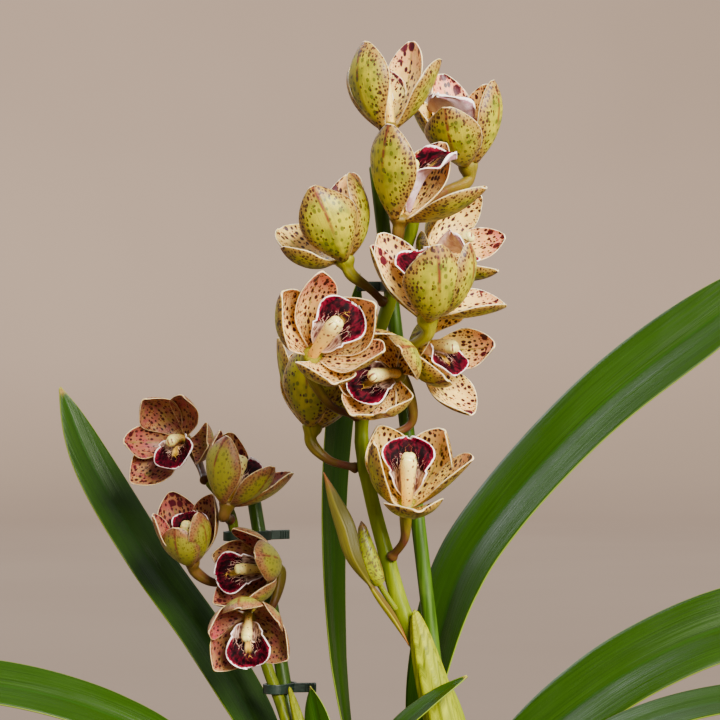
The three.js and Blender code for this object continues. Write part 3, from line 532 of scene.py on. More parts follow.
class Recipe:
    """Adds the nodes of one material or node group and joins them."""

    def __init__(self, tree):
        self.tree = tree

    def add(self, kind, feeds=None, **settings):
        node = self.tree.nodes.new(kind)
        for key, value in settings.items():
            setattr(node, key, value)
        for key, value in (feeds or {}).items():
            self.feed(node.inputs[key], value)
        return node

    def feed(self, socket, value):
        """Joins a socket to another, or sets it. A whole number is a colour's code."""
        if isinstance(value, bpy.types.NodeSocket):
            self.tree.links.new(value, socket)
        elif socket.type == "RGBA":
            socket.default_value = (*(paint(value) if isinstance(value, int) else value), 1)
        else:
            socket.default_value = value

    def math(self, operation, first, second=0.0):
        return self.add("ShaderNodeMath", {0: first, 1: second}, operation=operation).outputs[0]

    def plus(self, first, second):
        return self.math("ADD", first, second)

    def minus(self, first, second):
        return self.math("SUBTRACT", first, second)

    def over(self, first, second):
        return self.math("DIVIDE", first, second)

    def most(self, first, second):
        return self.math("MAXIMUM", first, second)

    def times(self, *values):
        result = values[0]
        for value in values[1:]:
            result = self.math("MULTIPLY", result, value)
        return result

    def less(self, value):
        return self.minus(1.0, value)

    def steps(self, value, low, high, first=0.0, second=1.0):
        feeds = {0: value, 1: low, 2: high, 3: first, 4: second}
        return self.add("ShaderNodeMapRange", feeds, interpolation_type="SMOOTHSTEP").outputs[0]

    def falls(self, value, low, high):
        """1 where the value is under low, 0 where it is over high."""
        return self.less(self.steps(value, low, high))

    def mix(self, share, first, second):
        feeds = {0: share, 6: first, 7: second}
        return self.add("ShaderNodeMix", feeds, data_type="RGBA", clamp_factor=True).outputs[2]

    def scaled(self, vector, *by):
        return self.add("ShaderNodeMapping", {0: vector, 3: by}).outputs[0]

    def vector(self, operation, first, key, second):
        return self.add("ShaderNodeVectorMath", {0: first, key: second}, operation=operation).outputs[0]

    def noise(self, vector, scale, detail, roughness=0.5, distortion=0.0):
        feeds = {
            "Vector": vector, "Scale": scale, "Detail": detail, "Roughness": roughness,
            "Distortion": distortion}
        return self.add("ShaderNodeTexNoise", feeds).outputs[0]

    def cloud(self, vector, scale, detail, low, high, first=0.0, second=1.0):
        """Soft patches: a noise, brought from low and high to first and second."""
        return self.steps(self.noise(vector, scale, detail), low, high, first, second)

    def attribute(self, name):
        return self.add("ShaderNodeAttribute", attribute_name=name)

    def split(self, vector):
        return self.add("ShaderNodeSeparateXYZ", {0: vector}).outputs

    def join(self, x, y, z):
        return self.add("ShaderNodeCombineXYZ", {0: x, 1: y, 2: z}).outputs[0]

    def group(self, name, build, feeds):
        """Places the node group of that name, which is built on its first use."""
        tree = bpy.data.node_groups.get(name) or build(name)
        node = self.add("ShaderNodeGroup", node_tree=tree)
        for key, value in feeds.items():
            self.feed(node.inputs[key], value)
        return node.outputs

    def bump(self, height, strength, distance):
        feeds = {"Height": height, "Strength": strength, "Distance": distance}
        return self.add("ShaderNodeBump", feeds).outputs[0]


def new_group(name, inputs, outputs):
    """A node group with its sockets, its recipe, the values that come in and the node that puts them out."""
    tree = bpy.data.node_groups.new(name, "ShaderNodeTree")
    for socket, default in inputs.items():
        kind = "NodeSocketVector" if default is None else "NodeSocketFloat"
        made = tree.interface.new_socket(name=socket, in_out="INPUT", socket_type=kind)
        if default is not None:
            made.default_value = default
    for socket in outputs:
        tree.interface.new_socket(name=socket, in_out="OUTPUT", socket_type="NodeSocketFloat")
    recipe = Recipe(tree)
    entry = recipe.add("NodeGroupInput").outputs
    return tree, recipe, entry, recipe.add("NodeGroupOutput").inputs


def spots_group(name):
    """Round spots of uneven size on a flat place in centimetres, fewer where Density is low."""
    inputs = {
        "Vector": None, "Spacing": 0.3, "Radius": 0.06, "Stretch": 0.75, "Density": 0.8, "Seed": 0.0}
    tree, r, entry, out = new_group(name, inputs, ["Mask"])
    x, y, own = r.split(entry["Vector"])
    seed = r.plus(entry["Seed"], own)
    x = r.plus(x, r.times(seed, 13.7))
    y = r.plus(r.times(y, entry["Stretch"]), r.times(seed, 29.1))
    flat = r.join(x, y, 0.0)
    wander = r.add("ShaderNodeTexNoise", {"Vector": flat, "Scale": 9.0, "Detail": 1.0}, noise_dimensions="2D")
    shift = r.vector("SUBTRACT", wander.outputs["Color"], 1, (0.5, 0.5, 0.5))
    flat = r.vector("ADD", flat, 1, r.vector("SCALE", shift, "Scale", 0.035))
    cells = r.add(
        "ShaderNodeTexVoronoi", {"Vector": flat, "Scale": r.over(1.0, entry["Spacing"]), "Randomness": 0.7},
        voronoi_dimensions="2D", feature="F1")
    rarity, size, _ = r.split(cells.outputs["Color"])
    radius = r.times(r.over(entry["Radius"], entry["Spacing"]), r.plus(0.6, r.times(size, 0.8)))
    inside = r.falls(cells.outputs["Distance"], r.times(radius, 0.72), r.times(radius, 1.12))
    there = r.steps(r.minus(entry["Density"], rarity), -0.02, 0.02)
    r.feed(out["Mask"], r.times(inside, there))
    return tree


def margin_group(name):
    """The strip along an edge: 1 at the edge and 0 past Width, with a slightly wandering border."""
    inputs = {"Distance": 0.0, "Vector": None, "Width": 0.06, "Wander": 0.3}
    tree, r, entry, out = new_group(name, inputs, ["Mask"])
    uneven = r.times(r.minus(r.noise(entry["Vector"], 7.0, 2.0), 0.5), entry["Wander"], 2.0)
    width = r.times(entry["Width"], r.plus(1.0, uneven))
    r.feed(out["Mask"], r.falls(entry["Distance"], r.times(width, 0.45), r.times(width, 1.35)))
    return tree


def veins_group(name):
    """Fine lines that run the length of a leaf or petal."""
    inputs = {"Vector": None, "Count": 12.0, "Flow": 0.35, "Sharpness": 0.2}
    tree, r, entry, out = new_group(name, inputs, ["Mask", "Height"])
    x, y, own = r.split(entry["Vector"])
    across = r.plus(r.times(x, entry["Count"]), r.times(own, 5.0))
    grain = r.noise(r.join(across, r.times(y, entry["Flow"]), own), 1.0, 2.0, 0.55)
    low = r.minus(0.5, entry["Sharpness"])
    high = r.plus(0.5, entry["Sharpness"])
    r.feed(out["Mask"], r.steps(grain, low, high))
    r.feed(out["Height"], grain)
    return tree


class Finish(Recipe):
    """A material with its Principled shader and the recipe that feeds it."""

    def __init__(self, name, code):
        self.material = bpy.data.materials.new(name)
        self.material.use_nodes = True
        self.material.diffuse_color = (*paint(code), 1)
        super().__init__(self.material.node_tree)
        self.tree.nodes.clear()
        self.shader = self.add("ShaderNodeBsdfPrincipled")
        output = self.add("ShaderNodeOutputMaterial")
        self.tree.links.new(self.shader.outputs[0], output.inputs[0])

    def place(self):
        """What each vertex carries: its side, distance to the rim, share along, and flat place."""
        side, rim, along = self.split(self.attribute("place").outputs["Vector"])
        return side, rim, along, self.attribute("flat").outputs["Vector"]

    def spot(self):
        """The point itself, in metres."""
        return self.add("ShaderNodeTexCoord").outputs["Object"]

    def spots(self, flat, spacing, radius, stretch, density, seed):
        feeds = {
            "Vector": flat, "Spacing": spacing, "Radius": radius, "Stretch": stretch, "Density": density,
            "Seed": seed}
        return self.group("Spots", spots_group, feeds)["Mask"]

    def margin(self, flat, rim, width, wander):
        feeds = {"Distance": rim, "Vector": flat, "Width": width, "Wander": wander}
        return self.group("Pale Margin", margin_group, feeds)["Mask"]

    def veins(self, flat, count, flow, sharpness):
        feeds = {"Vector": flat, "Count": count, "Flow": flow, "Sharpness": sharpness}
        return self.group("Lengthwise Veins", veins_group, feeds)

    def surface(self, colour, roughness, relief=None, **even):
        """Feeds the shader, with a height, strength and depth as relief, and sets its even values."""
        self.feed(self.shader.inputs["Base Color"], colour)
        self.feed(self.shader.inputs["Roughness"], roughness)
        if relief:
            self.feed(self.shader.inputs["Normal"], self.bump(*relief))
        for key, value in even.items():
            socket = key.replace("_", " ").title().replace("Ior", "IOR")
            self.shader.inputs[socket].default_value = value
        return self.material


def tepal_outside(r, flower, left, read, lines):
    """The outside of a sepal or petal: lime, tan at the margin, with dark spots in loose rows."""
    rim, along, aside, flat = read["rim"], read["along"], read["aside"], read["flat"]
    cloud = r.noise(r.scaled(flat, 1, 0.6, 1), 2.2, 3.0)
    near_edge = r.falls(rim, 0.05, 0.95)
    ends = r.plus(r.times(r.steps(along, 0.55, 1.0), 0.6), r.times(r.falls(along, 0.0, 0.22), 0.5))
    ripe = r.steps(r.plus(r.plus(near_edge, ends), r.times(r.minus(cloud, 0.5), 1.1)), 0.1, 1.05)
    shade = r.mix(r.cloud(flat, 1.3, 2.0, 0.4, 0.65), flower.lime, 0x84860A)
    colour = r.mix(ripe, 0x8E8A20 if left else shade, 0x8E5E3E if left else flower.olive)
    colour = r.mix(r.times(lines["Mask"], r.steps(near_edge, 0.0, 1.0, 0.3, 0.5)), colour, 0x8C7C26)
    flecks = r.times(r.steps(r.noise(flat, 8.0, 4.0, 0.7), 0.46, 0.66), ripe, 0.85 if left else 0.5)
    colour = r.mix(flecks, colour, 0x8A3C22)
    streak = r.times(
        r.falls(aside, 0.02, 0.14), r.steps(along, 0.3, 0.55), r.cloud(flat, 3.0, 2.0, 0.25, 0.55), 0.95)
    colour = r.mix(streak, colour, 0x6E2C18)
    wide = r.spots(flat, 0.33, 0.078, 0.72, r.steps(near_edge, 0.0, 0.7, 0.85, 0.45), 1.0)
    fine = r.spots(flat, 0.17, 0.05, 0.68, r.steps(rim, 0.25, 1.2, 1.0, 0.1), 2.0)
    strength = 0.6 if left else 0.93
    dark = r.mix(r.steps(rim, 0.9, 0.4), 0x3E4A14, 0x300A10)
    colour = r.mix(r.times(wide, r.steps(rim, 0.3, 1.0, strength, strength * 0.75)), colour, dark)
    colour = r.mix(r.times(fine, strength), colour, 0x3E1010)
    edge = r.margin(flat, rim, 0.036, 1.0)
    return r.mix(r.times(edge, 0.6), colour, flower.rim)


def tepal_inside(r, flower, left, read, lines):
    """The inside of a sepal or petal: cream to peach or pink, dotted orange-red, blotched at the tip."""
    rim, along, aside, flat = read["rim"], read["along"], read["aside"], read["flat"]
    warm = r.cloud(flat, 1.6, 3.0, 0.35, 0.68)
    pale, deep = (0x9A8440, 0x8A4A46) if left else (flower.cream, 0xDCBC62)
    colour = r.mix(warm, pale, deep)
    colour = r.mix(r.times(read["ruddy"], 0.6), colour, 0x8A4148 if left else 0xBA7F58)
    rosy = r.times(
        read["flush"], r.steps(along, 0.0 if left else 0.3, 0.5 if left else 0.85),
        r.cloud(flat, 2.4, 3.0, 0.3, 0.62, 0.5, 1.0))
    colour = r.mix(rosy, colour, 0x9C2A4A if left else flower.blush)
    colour = r.mix(r.times(lines["Mask"], 0.22), colour, 0xC08A48)
    midrib = r.times(
        r.falls(aside, 0.02, 0.09), r.steps(along, 0.08, 0.25), r.falls(along, 0.7, 0.92),
        r.cloud(r.scaled(flat, 1, 1.6, 1), 2.0, 2.0, 0.4, 0.55), 0.7)
    colour = r.mix(midrib, colour, 0x6E6E20)
    dust = r.spots(
        flat, 0.14, 0.041, 0.7,
        r.times(
            r.steps(rim, 0.02, 0.8, 1.0, 0.3), r.steps(along, 1.0, 0.55, 0.5, 1.0),
            r.steps(read["ruddy"], 0.0, 0.8, 0.75, 1.3)),
        3.0)
    dots = r.spots(flat, 0.28, 0.078, 0.62, 0.8, 4.0)
    blots = r.spots(
        flat, 0.6, 0.19, 0.75, r.times(r.steps(along, 0.6, 0.78), r.steps(read["flush"], 0.2, 0.5)), 5.0)
    colour = r.mix(r.times(dust, 0.9), colour, 0x74160C)
    colour = r.mix(dots, colour, flower.maroon)
    colour = r.mix(blots, colour, 0x4A0416)
    edge = r.margin(flat, rim, 0.036, 1.0)
    edge = r.times(edge, r.cloud(flat, 2.6, 2.0, 0.35, 0.65, 0.35, 0.9))
    return r.mix(edge, colour, 0xD8C08C if left else 0xFFEBC4)


def tepal_material(name, flower, left):
    """Sepals and petals: spotted lime and tan outside, cream to pink inside, with a pale rim."""
    r = Finish(name, 0xA9A53C)
    inner, rim, along, flat = r.place()
    read = {
        "rim": rim, "along": along, "flat": flat, "aside": r.math("ABSOLUTE", r.split(flat)[0]),
        "flush": r.attribute("flush").outputs["Fac"], "ruddy": r.attribute("place").outputs["Alpha"]}
    lines = r.veins(flat, 9.0, 0.5, 0.22)
    outside = tepal_outside(r, flower, left, read, lines)
    inside = tepal_inside(r, flower, left, read, lines)
    height = r.plus(r.times(lines["Height"], 0.7), r.times(r.noise(flat, 26.0, 2.0), 0.3))
    return r.surface(
        r.mix(inner, outside, inside), r.steps(lines["Height"], 0.2, 0.8, 0.32, 0.5),
        (height, 0.35, 0.0008), specular_ior_level=0.35, subsurface_weight=0.6, subsurface_scale=0.0016,
        subsurface_radius=(1.0, 0.8, 0.4))


def lip_material(name, flower):
    """The lip: black-maroon velvet between pale veins inside, pale pink outside, with a white rim."""
    r = Finish(name, 0x5A0F22)
    inner, rim, along, flat = r.place()
    x, y, seed = r.split(flat)
    aside = r.math("ABSOLUTE", x)
    edge = r.margin(flat, rim, 0.055, 1.4)
    glow = r.margin(flat, rim, 0.2, 1.4)
    # Branching pale veins: the borders between long cells that fan out from the throat.
    fan = r.over(x, r.plus(0.35, r.times(along, 0.75)))
    warped = r.plus(r.times(fan, 2.6), r.times(r.minus(r.noise(flat, 3.2, 2.0), 0.5), 1.5))
    lane = r.join(warped, r.times(y, 0.85), r.times(seed, 3.1))
    border = r.add(
        "ShaderNodeTexVoronoi", {"Vector": lane, "Scale": 1.5, "Randomness": 0.9},
        feature="DISTANCE_TO_EDGE", voronoi_dimensions="3D").outputs["Distance"]
    reach = r.steps(r.plus(along, r.times(aside, 0.3)), 0.45, 0.98, 0.07, -0.015)
    vein = r.falls(border, r.times(reach, 0.4), r.plus(reach, 0.012))
    lobe = r.steps(r.plus(along, r.times(r.noise(flat, 4.0, 2.0), 0.12)), 0.46, 0.56)
    throat = r.times(r.falls(aside, 0.12, 0.26), r.falls(along, 0.55, 0.75))
    patch = r.times(lobe, r.less(vein), r.less(throat))
    stripes = r.veins(flat, 11.0, 1.4, 0.06)["Mask"]
    side_spots = r.spots(flat, 0.24, 0.085, 0.5, 0.8, 6.0)
    freckle = r.times(r.most(r.times(stripes, 0.7), side_spots), r.less(lobe), r.steps(along, 0.08, 0.2))
    ground = r.mix(r.steps(aside, 0.05, 0.4), 0xE2B232, 0xE6C4AC)
    inside = r.mix(r.times(freckle, 0.9), ground, 0x5A1020)
    velvet = r.mix(r.cloud(flat, 5.0, 3.0, 0.42, 0.62, 0.0, 0.4), flower.lip_dark, 0x38000E)
    seams = r.times(r.falls(border, 0.02, 0.22), r.cloud(flat, 4.0, 2.0, 0.35, 0.6))
    velvet = r.mix(r.most(glow, r.times(seams, 0.4)), velvet, flower.lip_crimson)
    inside = r.mix(patch, inside, velvet)
    inside = r.mix(edge, inside, 0xFFF0EC)
    shade = r.cloud(flat, 2.2, 3.0, 0.35, 0.7)
    outside = r.mix(shade, flower.lip_back, 0xC9A2A8)
    outside = r.mix(r.times(patch, 0.3), outside, 0x7A4258)
    outside = r.mix(r.times(r.minus(glow, edge), 0.5), outside, 0x8E2044)
    outside = r.mix(edge, outside, 0xFFF0EC)
    height = r.plus(r.times(r.noise(flat, 30.0, 2.0), 0.5), r.times(vein, -0.5))
    return r.surface(
        r.mix(inner, outside, inside), r.steps(r.times(inner, patch), 0.0, 1.0, 0.42, 0.62),
        (height, 0.4, 0.0007), specular_ior_level=0.06)


def column_material(name, warm):
    """The column: waxy cream to yellow with a few maroon dots."""
    r = Finish(name, 0xF2E2B0)
    _, _, along, flat = r.place()
    tone = r.steps(r.plus(along, r.times(r.noise(flat, 3.0, 2.0), 0.3)), 0.1, 1.1)
    colour = r.mix(tone, 0xC89628 if warm else 0xE0B43C, 0xF4DC80)
    dots = r.spots(flat, 0.3, 0.054, 0.9, 0.72, 7.0)
    colour = r.mix(r.times(dots, 0.92), colour, 0x6A1220)
    return r.surface(
        colour, r.cloud(flat, 6.0, 2.0, 0.3, 0.7, 0.26, 0.42), (r.noise(flat, 20.0, 2.0), 0.2, 0.0006),
        specular_ior_level=0.5, subsurface_weight=0.25, subsurface_scale=0.003, coat_weight=0.15)


def bud_material():
    """The bud: green-yellow with close grey-purple spots, dark maroon at its right side and tip."""
    r = Finish("Bud Skin", 0x9A9A3C)
    _, _, along, flat = r.place()
    spot = r.split(r.spot())
    lines = r.veins(flat, 9.0, 0.5, 0.22)
    colour = r.mix(r.cloud(flat, 3.0, 3.0, 0.35, 0.65), 0x98A008, 0x7C8010)
    right = r.steps(r.plus(spot[0], r.times(spot[2], 0.29)), 0.0815, 0.084)
    tip = r.steps(r.plus(along, r.times(r.noise(flat, 4.0, 2.0), 0.1)), 0.9, 1.02)
    dark = r.most(right, tip)
    colour = r.mix(r.times(dark, 0.8), colour, 0x5A1A1E)
    close = r.spots(flat, 0.15, 0.05, 0.7, r.steps(along, 0.3, 0.4, 0.0, 0.8), 8.0)
    colour = r.mix(r.times(close, 0.75), colour, 0x4A2C34)
    colour = r.mix(r.falls(along, 0.26, 0.33), colour, 0x666E08)
    return r.surface(
        colour, r.steps(lines["Height"], 0.2, 0.8, 0.3, 0.46), (lines["Height"], 0.35, 0.0007),
        specular_ior_level=0.35, subsurface_weight=0.3, subsurface_scale=0.0015)


def stalk_material(name, left):
    """Flower stalks and ovaries: olive to orange-brown, finely speckled, faintly ribbed."""
    r = Finish(name, 0x8A7A34)
    _, _, along, flat = r.place()
    lines = r.veins(flat, 7.0, 0.5, 0.25)
    brown = r.mix(r.cloud(flat, 2.0, 3.0, 0.35, 0.65), 0x563C12, 0x5A2E1E)
    green = r.mix(lines["Mask"], 0xA09610, 0x76780C)
    own = r.math("FRACT", r.times(r.split(flat)[2], 3.7))
    share = r.times(
        r.steps(r.plus(along, r.times(r.noise(flat, 1.5, 2.0), 0.4)), 0.45, 1.25),
        r.steps(own, 0.3, 0.6, 0.25, 1.0))
    colour = r.mix(share, brown, 0x82741A if left else green)
    grains = r.steps(r.noise(flat, 30.0, 2.0, 0.7), 0.56, 0.68)
    colour = r.mix(r.times(grains, 0.35), colour, 0x3E2016)
    return r.surface(
        colour, r.steps(lines["Height"], 0.3, 0.7, 0.3, 0.45), (lines["Height"], 0.35, 0.0008),
        specular_ior_level=0.2, subsurface_weight=0.08, subsurface_scale=0.002)


def leaf_material(foliage):
    """Leaves: deep green with fine parallel veins, a pale keel below and a thin pale edge."""
    r = Finish("Leaf", 0x1F4A12)
    upper, rim, along, flat = r.place()
    aside = r.math("ABSOLUTE", r.split(flat)[0])
    fine = r.veins(flat, 26.0, 0.12, 0.2)
    broad = r.veins(flat, 5.0, 0.07, 0.3)
    cloud = r.cloud(r.scaled(flat, 1, 0.25, 1), 0.5, 3.0, 0.35, 0.7)
    top = r.mix(cloud, foliage.leaf_green, 0x1C3600)
    top = r.mix(r.times(broad["Mask"], 0.4), top, 0x142A00)
    top = r.mix(r.times(fine["Mask"], 0.3), top, 0x305200)
    under = r.mix(r.times(broad["Mask"], 0.4), foliage.leaf_under, 0x55801A)
    under = r.mix(r.times(fine["Mask"], 0.25), under, 0x8AAA3C)
    colour = r.mix(upper, under, top)
    keel = r.falls(aside, 0.02, 0.09)
    colour = r.mix(
        r.times(keel, r.steps(upper, 0.0, 1.0, 0.6, 0.45)), colour, r.mix(upper, 0xA4BC4C, 0x1A3E08))
    foot = r.falls(along, 0.0, 0.2)
    colour = r.mix(r.times(foot, 0.7), colour, 0x9DB03A)
    tip = r.steps(r.plus(along, r.times(r.noise(flat, 3.0, 2.0), 0.02)), 0.99, 1.005)
    colour = r.mix(r.times(tip, 0.8), colour, 0x8A6A34)
    edge = r.margin(flat, rim, 0.03, 0.3)
    colour = r.mix(r.times(edge, 0.45), colour, foliage.leaf_edge)
    pores = r.steps(r.noise(flat, 55.0, 2.0, 0.6), 0.6, 0.75)
    colour = r.mix(r.times(pores, 0.12), colour, 0x86A850)
    smudge = r.noise(r.scaled(flat, 1, 0.4, 1), 1.3, 3.0)
    height = r.plus(r.times(fine["Height"], 0.45), r.times(broad["Height"], 0.8))
    return r.surface(
        colour, r.steps(smudge, 0.3, 0.75, 0.3, 0.46), (height, 0.3, 0.0012), specular_ior_level=0.14)


def stem_material(name, light, dark, speck):
    """Flower spikes: bright green, lengthwise fibres and fine dark specks."""
    r = Finish(name, 0x8FA83A)
    spot = r.spot()
    fibres = r.noise(r.scaled(spot, 420, 420, 22), 1.0, 3.0)
    cloud = r.noise(r.scaled(spot, 60, 60, 26), 1.0, 3.0)
    colour = r.mix(r.steps(cloud, 0.35, 0.68), light, dark)
    colour = r.mix(r.times(r.steps(fibres, 0.45, 0.65), 0.25), colour, 0x98A000)
    specks = r.cloud(r.scaled(spot, 1500, 1500, 1100), 1.0, 2.0, 0.62, 0.7)
    patches = r.cloud(r.scaled(spot, 90, 90, 40), 1.0, 2.0, 0.42, 0.62)
    colour = r.mix(r.times(specks, patches, speck), colour, 0x5A5A14)
    return r.surface(
        colour, r.steps(fibres, 0.3, 0.7, 0.32, 0.46), (fibres, 0.25, 0.0006), specular_ior_level=0.15)


def sheath_material(name, light, shade, pale, brown):
    """Sheaths and bracts: pleated, with broad lengthwise bands from the light to the shade colour as painted
    light and shade on the pleats, fine paler lines between them, turning brown and dry at the tips.
    """
    r = Finish(name, 0xC9D62F)
    _, _, along, flat = r.place()
    fine = r.veins(flat, 16.0, 0.3, 0.22)
    broad = r.veins(flat, 4.0, 0.2, 0.2)
    # Broad bands from the light to the shade colour: painted light and shade of the pleats' folds.
    colour = r.mix(broad["Mask"], light, shade)
    colour = r.mix(r.times(fine["Mask"], 0.25), colour, pale)
    ends = r.most(r.steps(along, 0.72, 1.0), r.falls(along, 0.0, 0.16))
    ends = r.times(ends, r.cloud(r.scaled(flat, 1, 0.4, 1), 2.4, 3.0, 0.3, 0.6, 0.5, 1.0), brown)
    colour = r.mix(ends, colour, 0x94683A)
    height = r.plus(r.times(fine["Height"], 0.4), broad["Height"])
    return r.surface(
        colour, r.steps(fine["Height"], 0.3, 0.7, 0.38, 0.55), (height, 0.4, 0.0012),
        specular_ior_level=0.12)


def bract_material():
    """The bract: tan-green, darker on its right, yellow below its crease, pink-brown at its ends."""
    r = Finish("Bract", 0x8E8A3C)
    _, _, along, flat = r.place()
    fine = r.veins(flat, 16.0, 0.3, 0.22)
    across = r.split(flat)[0]
    lower = r.falls(along, 0.35, 0.38)
    colour = r.mix(lower, 0x6A6214, 0x96900E)
    colour = r.mix(r.times(fine["Mask"], 0.3), colour, 0x8E8430)
    colour = r.mix(r.times(r.steps(across, 0.02, 0.1), r.less(lower), 0.75), colour, 0x403C0C)
    colour = r.mix(r.times(r.steps(across, 0.02, 0.08), lower, 0.8), colour, 0x3E1C0A)
    crease = r.times(r.steps(along, 0.345, 0.36), r.falls(along, 0.365, 0.38))
    colour = r.mix(r.times(crease, 0.6), colour, 0x4A2E12)
    ends = r.most(r.steps(along, 0.86, 1.0), r.falls(along, 0.02, 0.14))
    colour = r.mix(r.times(ends, 0.8), colour, 0x7E3A1E)
    return r.surface(
        colour, r.steps(fine["Height"], 0.3, 0.7, 0.38, 0.55), (fine["Height"], 0.4, 0.001),
        specular_ior_level=0.25)


def stake_material(support):
    """Stakes: smooth green coating with faint lengthwise drawing lines."""
    r = Finish("Stake Coating", 0x2C5A2C)
    spot = r.spot()
    drawn = r.noise(r.scaled(spot, 500, 500, 9), 1.0, 2.0)
    dusty = r.noise(r.scaled(spot, 70, 70, 50), 1.0, 4.0)
    colour = r.mix(r.steps(drawn, 0.4, 0.65), support.stake_green, 0x2A4404)
    colour = r.mix(r.times(r.steps(dusty, 0.5, 0.75), 0.3), colour, 0x6E8424)
    return r.surface(
        colour, r.steps(dusty, 0.3, 0.7, 0.3, 0.48), (drawn, 0.15, 0.0004), specular_ior_level=0.3)


def clip_material(support):
    """Clips: dark green-black moulded plastic, a little scuffed."""
    r = Finish("Clip Plastic", 0x14251C)
    scuffs = r.noise(r.scaled(r.spot(), 300, 300, 900), 1.0, 4.0, 0.7)
    colour = r.mix(r.times(r.steps(scuffs, 0.55, 0.75), 0.5), support.clip_green, 0x44604F)
    return r.surface(
        colour, r.steps(scuffs, 0.3, 0.7, 0.28, 0.5), (scuffs, 0.12, 0.0003), specular_ior_level=0.5)


def pot_material(settings):
    """The pot: plain moulded plastic with a fine matt grain and faint dust near its foot."""
    r = Finish("Pot Plastic", 0x6B4A35)
    spot = r.spot()
    height = r.split(spot)[2]
    grain = r.noise(spot, 900.0, 3.0, 0.6)
    cloud = r.noise(r.scaled(spot, 22, 22, 14), 1.0, 5.0, 0.6)
    colour = r.mix(r.steps(cloud, 0.35, 0.7), settings.pot_brown, 0x4E3224)
    colour = r.mix(r.times(r.steps(grain, 0.5, 0.7), 0.18), colour, 0x7E5E48)
    dust = r.times(r.falls(height, 0.0, 0.03), r.steps(cloud, 0.4, 0.6), 0.35)
    colour = r.mix(dust, colour, 0x86725E)
    return r.surface(
        colour, r.steps(cloud, 0.3, 0.7, 0.48, 0.66), (grain, 0.15, 0.0004), specular_ior_level=0.4)


def bark_material(settings, name, painted_shade):
    """Bark: layered brown flakes with pale dry faces and dark specks; the bed under the loose chips is
    darkened all over as painted shade in the hollows between them.
    """
    r = Finish(name, 0x54392A)
    spot = r.spot()
    hue = r.cloud(spot, 90.0, 1.0, 0.35, 0.65)
    colour = r.mix(hue, settings.bark_brown, 0x341E12)
    layers = r.noise(r.scaled(spot, 260, 260, 900), 1.0, 4.0, 0.65, 0.6)
    colour = r.mix(r.times(r.steps(layers, 0.48, 0.66), 0.7), colour, 0x7A5434)
    colour = r.mix(r.times(r.steps(r.noise(spot, 420.0, 4.0, 0.7), 0.55, 0.7), 0.6), colour, 0x2A1A12)
    colour = r.mix(r.times(r.cloud(spot, 160.0, 2.0, 0.6, 0.72), 0.45), colour, 0x96764E)
    return r.surface(
        # Darkens the whole surface by the share given: painted shade, for the bed seen in the hollows between
        # the chips.
        r.mix(painted_shade, colour, 0x20140E), r.steps(layers, 0.3, 0.7, 0.72, 0.92), (layers, 0.8, 0.0015),
        specular_ior_level=0.3)


def bulb_material():
    """Pseudobulbs: green, lengthwise wrinkled."""
    r = Finish("Bulb Skin", 0x6F8440)
    spot = r.spot()
    wrinkles = r.noise(r.scaled(spot, 300, 300, 40), 1.0, 3.0)
    cloud = r.noise(spot, 60.0, 3.0)
    colour = r.mix(r.steps(cloud, 0.35, 0.7), 0x2E4A08, 0x4A6410)
    colour = r.mix(r.times(r.steps(wrinkles, 0.5, 0.7), 0.4), colour, 0x203A08)
    return r.surface(
        colour, r.steps(cloud, 0.3, 0.7, 0.36, 0.52), (wrinkles, 0.4, 0.0012), specular_ior_level=0.4)


def floor_material(stage):
    """A plain pale floor, evenly matt with the faintest mottling."""
    r = Finish("Studio Floor", 0xCFC4B8)
    cloud = r.cloud(r.spot(), 0.9, 3.0, 0.3, 0.7)
    return r.surface(
        r.mix(r.times(cloud, 0.25), stage.floor, 0x64574E), r.steps(cloud, 0.0, 1.0, 0.85, 0.95),
        specular_ior_level=0.1)


# ---- Bloom parts, in the bloom's own frame: +Z is the way it faces, -Y the side its lip is on ----

def tepal_share(along):
    return math.sin(math.pi * (0.02 + 0.965 * along ** 1.3)) ** 0.65


def tepal_surface(length, width, angle, flare, curl, cup, rise, thickness, draw):
    """One sepal or petal: an arc that starts flared and curls back in, cupped across its width."""
    outward = Vector((math.cos(math.radians(angle)), math.sin(math.radians(angle)), 0))
    sideways = Vector((outward.y, -outward.x, 0))
    axis = Vector((0, 0, 1))
    flare = math.radians(flare)
    curl = math.radians(curl)
    fold = math.radians(cup)
    bow = length / curl
    phase, ripples, sway = draw.uniform(0, 6.3), draw.uniform(2.2, 3.4), draw.uniform(-1.0, 1.0)
    ripple = draw.uniform(0.35, 0.75)

    def surface(across, share):
        along = 1 - (1 - share) ** 1.3
        lean = flare - curl * along
        reach = TEPAL_START + bow * (math.cos(lean) - math.cos(flare))
        height = rise + bow * (math.sin(flare) - math.sin(lean))
        half = 0.5 * width * tepal_share(along)
        inward = outward * -math.cos(lean) + axis * math.sin(lean)
        swing = fold * across
        point = outward * reach + axis * height
        point += sideways * ((half / fold) * math.sin(swing) + sway * math.sin(math.pi * along) * along)
        point += inward * ((half / fold) * (1 - math.cos(swing)))
        normal = inward * math.cos(swing) - sideways * math.sin(swing)
        wave = ripple * abs(across) ** 3 * math.sin(ripples * math.pi * along + phase + 1.7 * across)
        rib = -0.4 * math.exp(-((across * half / 0.9) ** 2)) * smoothstep(along, 0.05, 0.3) * (1 - along ** 4)
        point += normal * (wave * smoothstep(along, 0.15, 0.5) + rib)
        rim = min((1 - abs(across)) * half, (1 - along) * length * 0.9)
        thick = thickness * lerp(1.15, 0.5, abs(across) ** 3) * lerp(1.2, 0.75, along)
        return point, normal, thick, (across * half, along * length), rim

    return surface


def lip_lean(along, reflex):
    return math.radians(14 + 10 * along + reflex * max(0, (along - LIP_BEND) / (1 - LIP_BEND)) ** 1.1)


def lip_half(along):
    """Half the lip's width: side lobes below the bend, then the round drooping lobe."""
    if along < 0.5:
        return 2.8 + 10.2 * math.sin(math.pi * along)
    lobe = (along - 0.5) / 0.5
    return 11.5 + 2.5 * math.sin(math.pi * lobe) - 9.5 * lobe ** 4


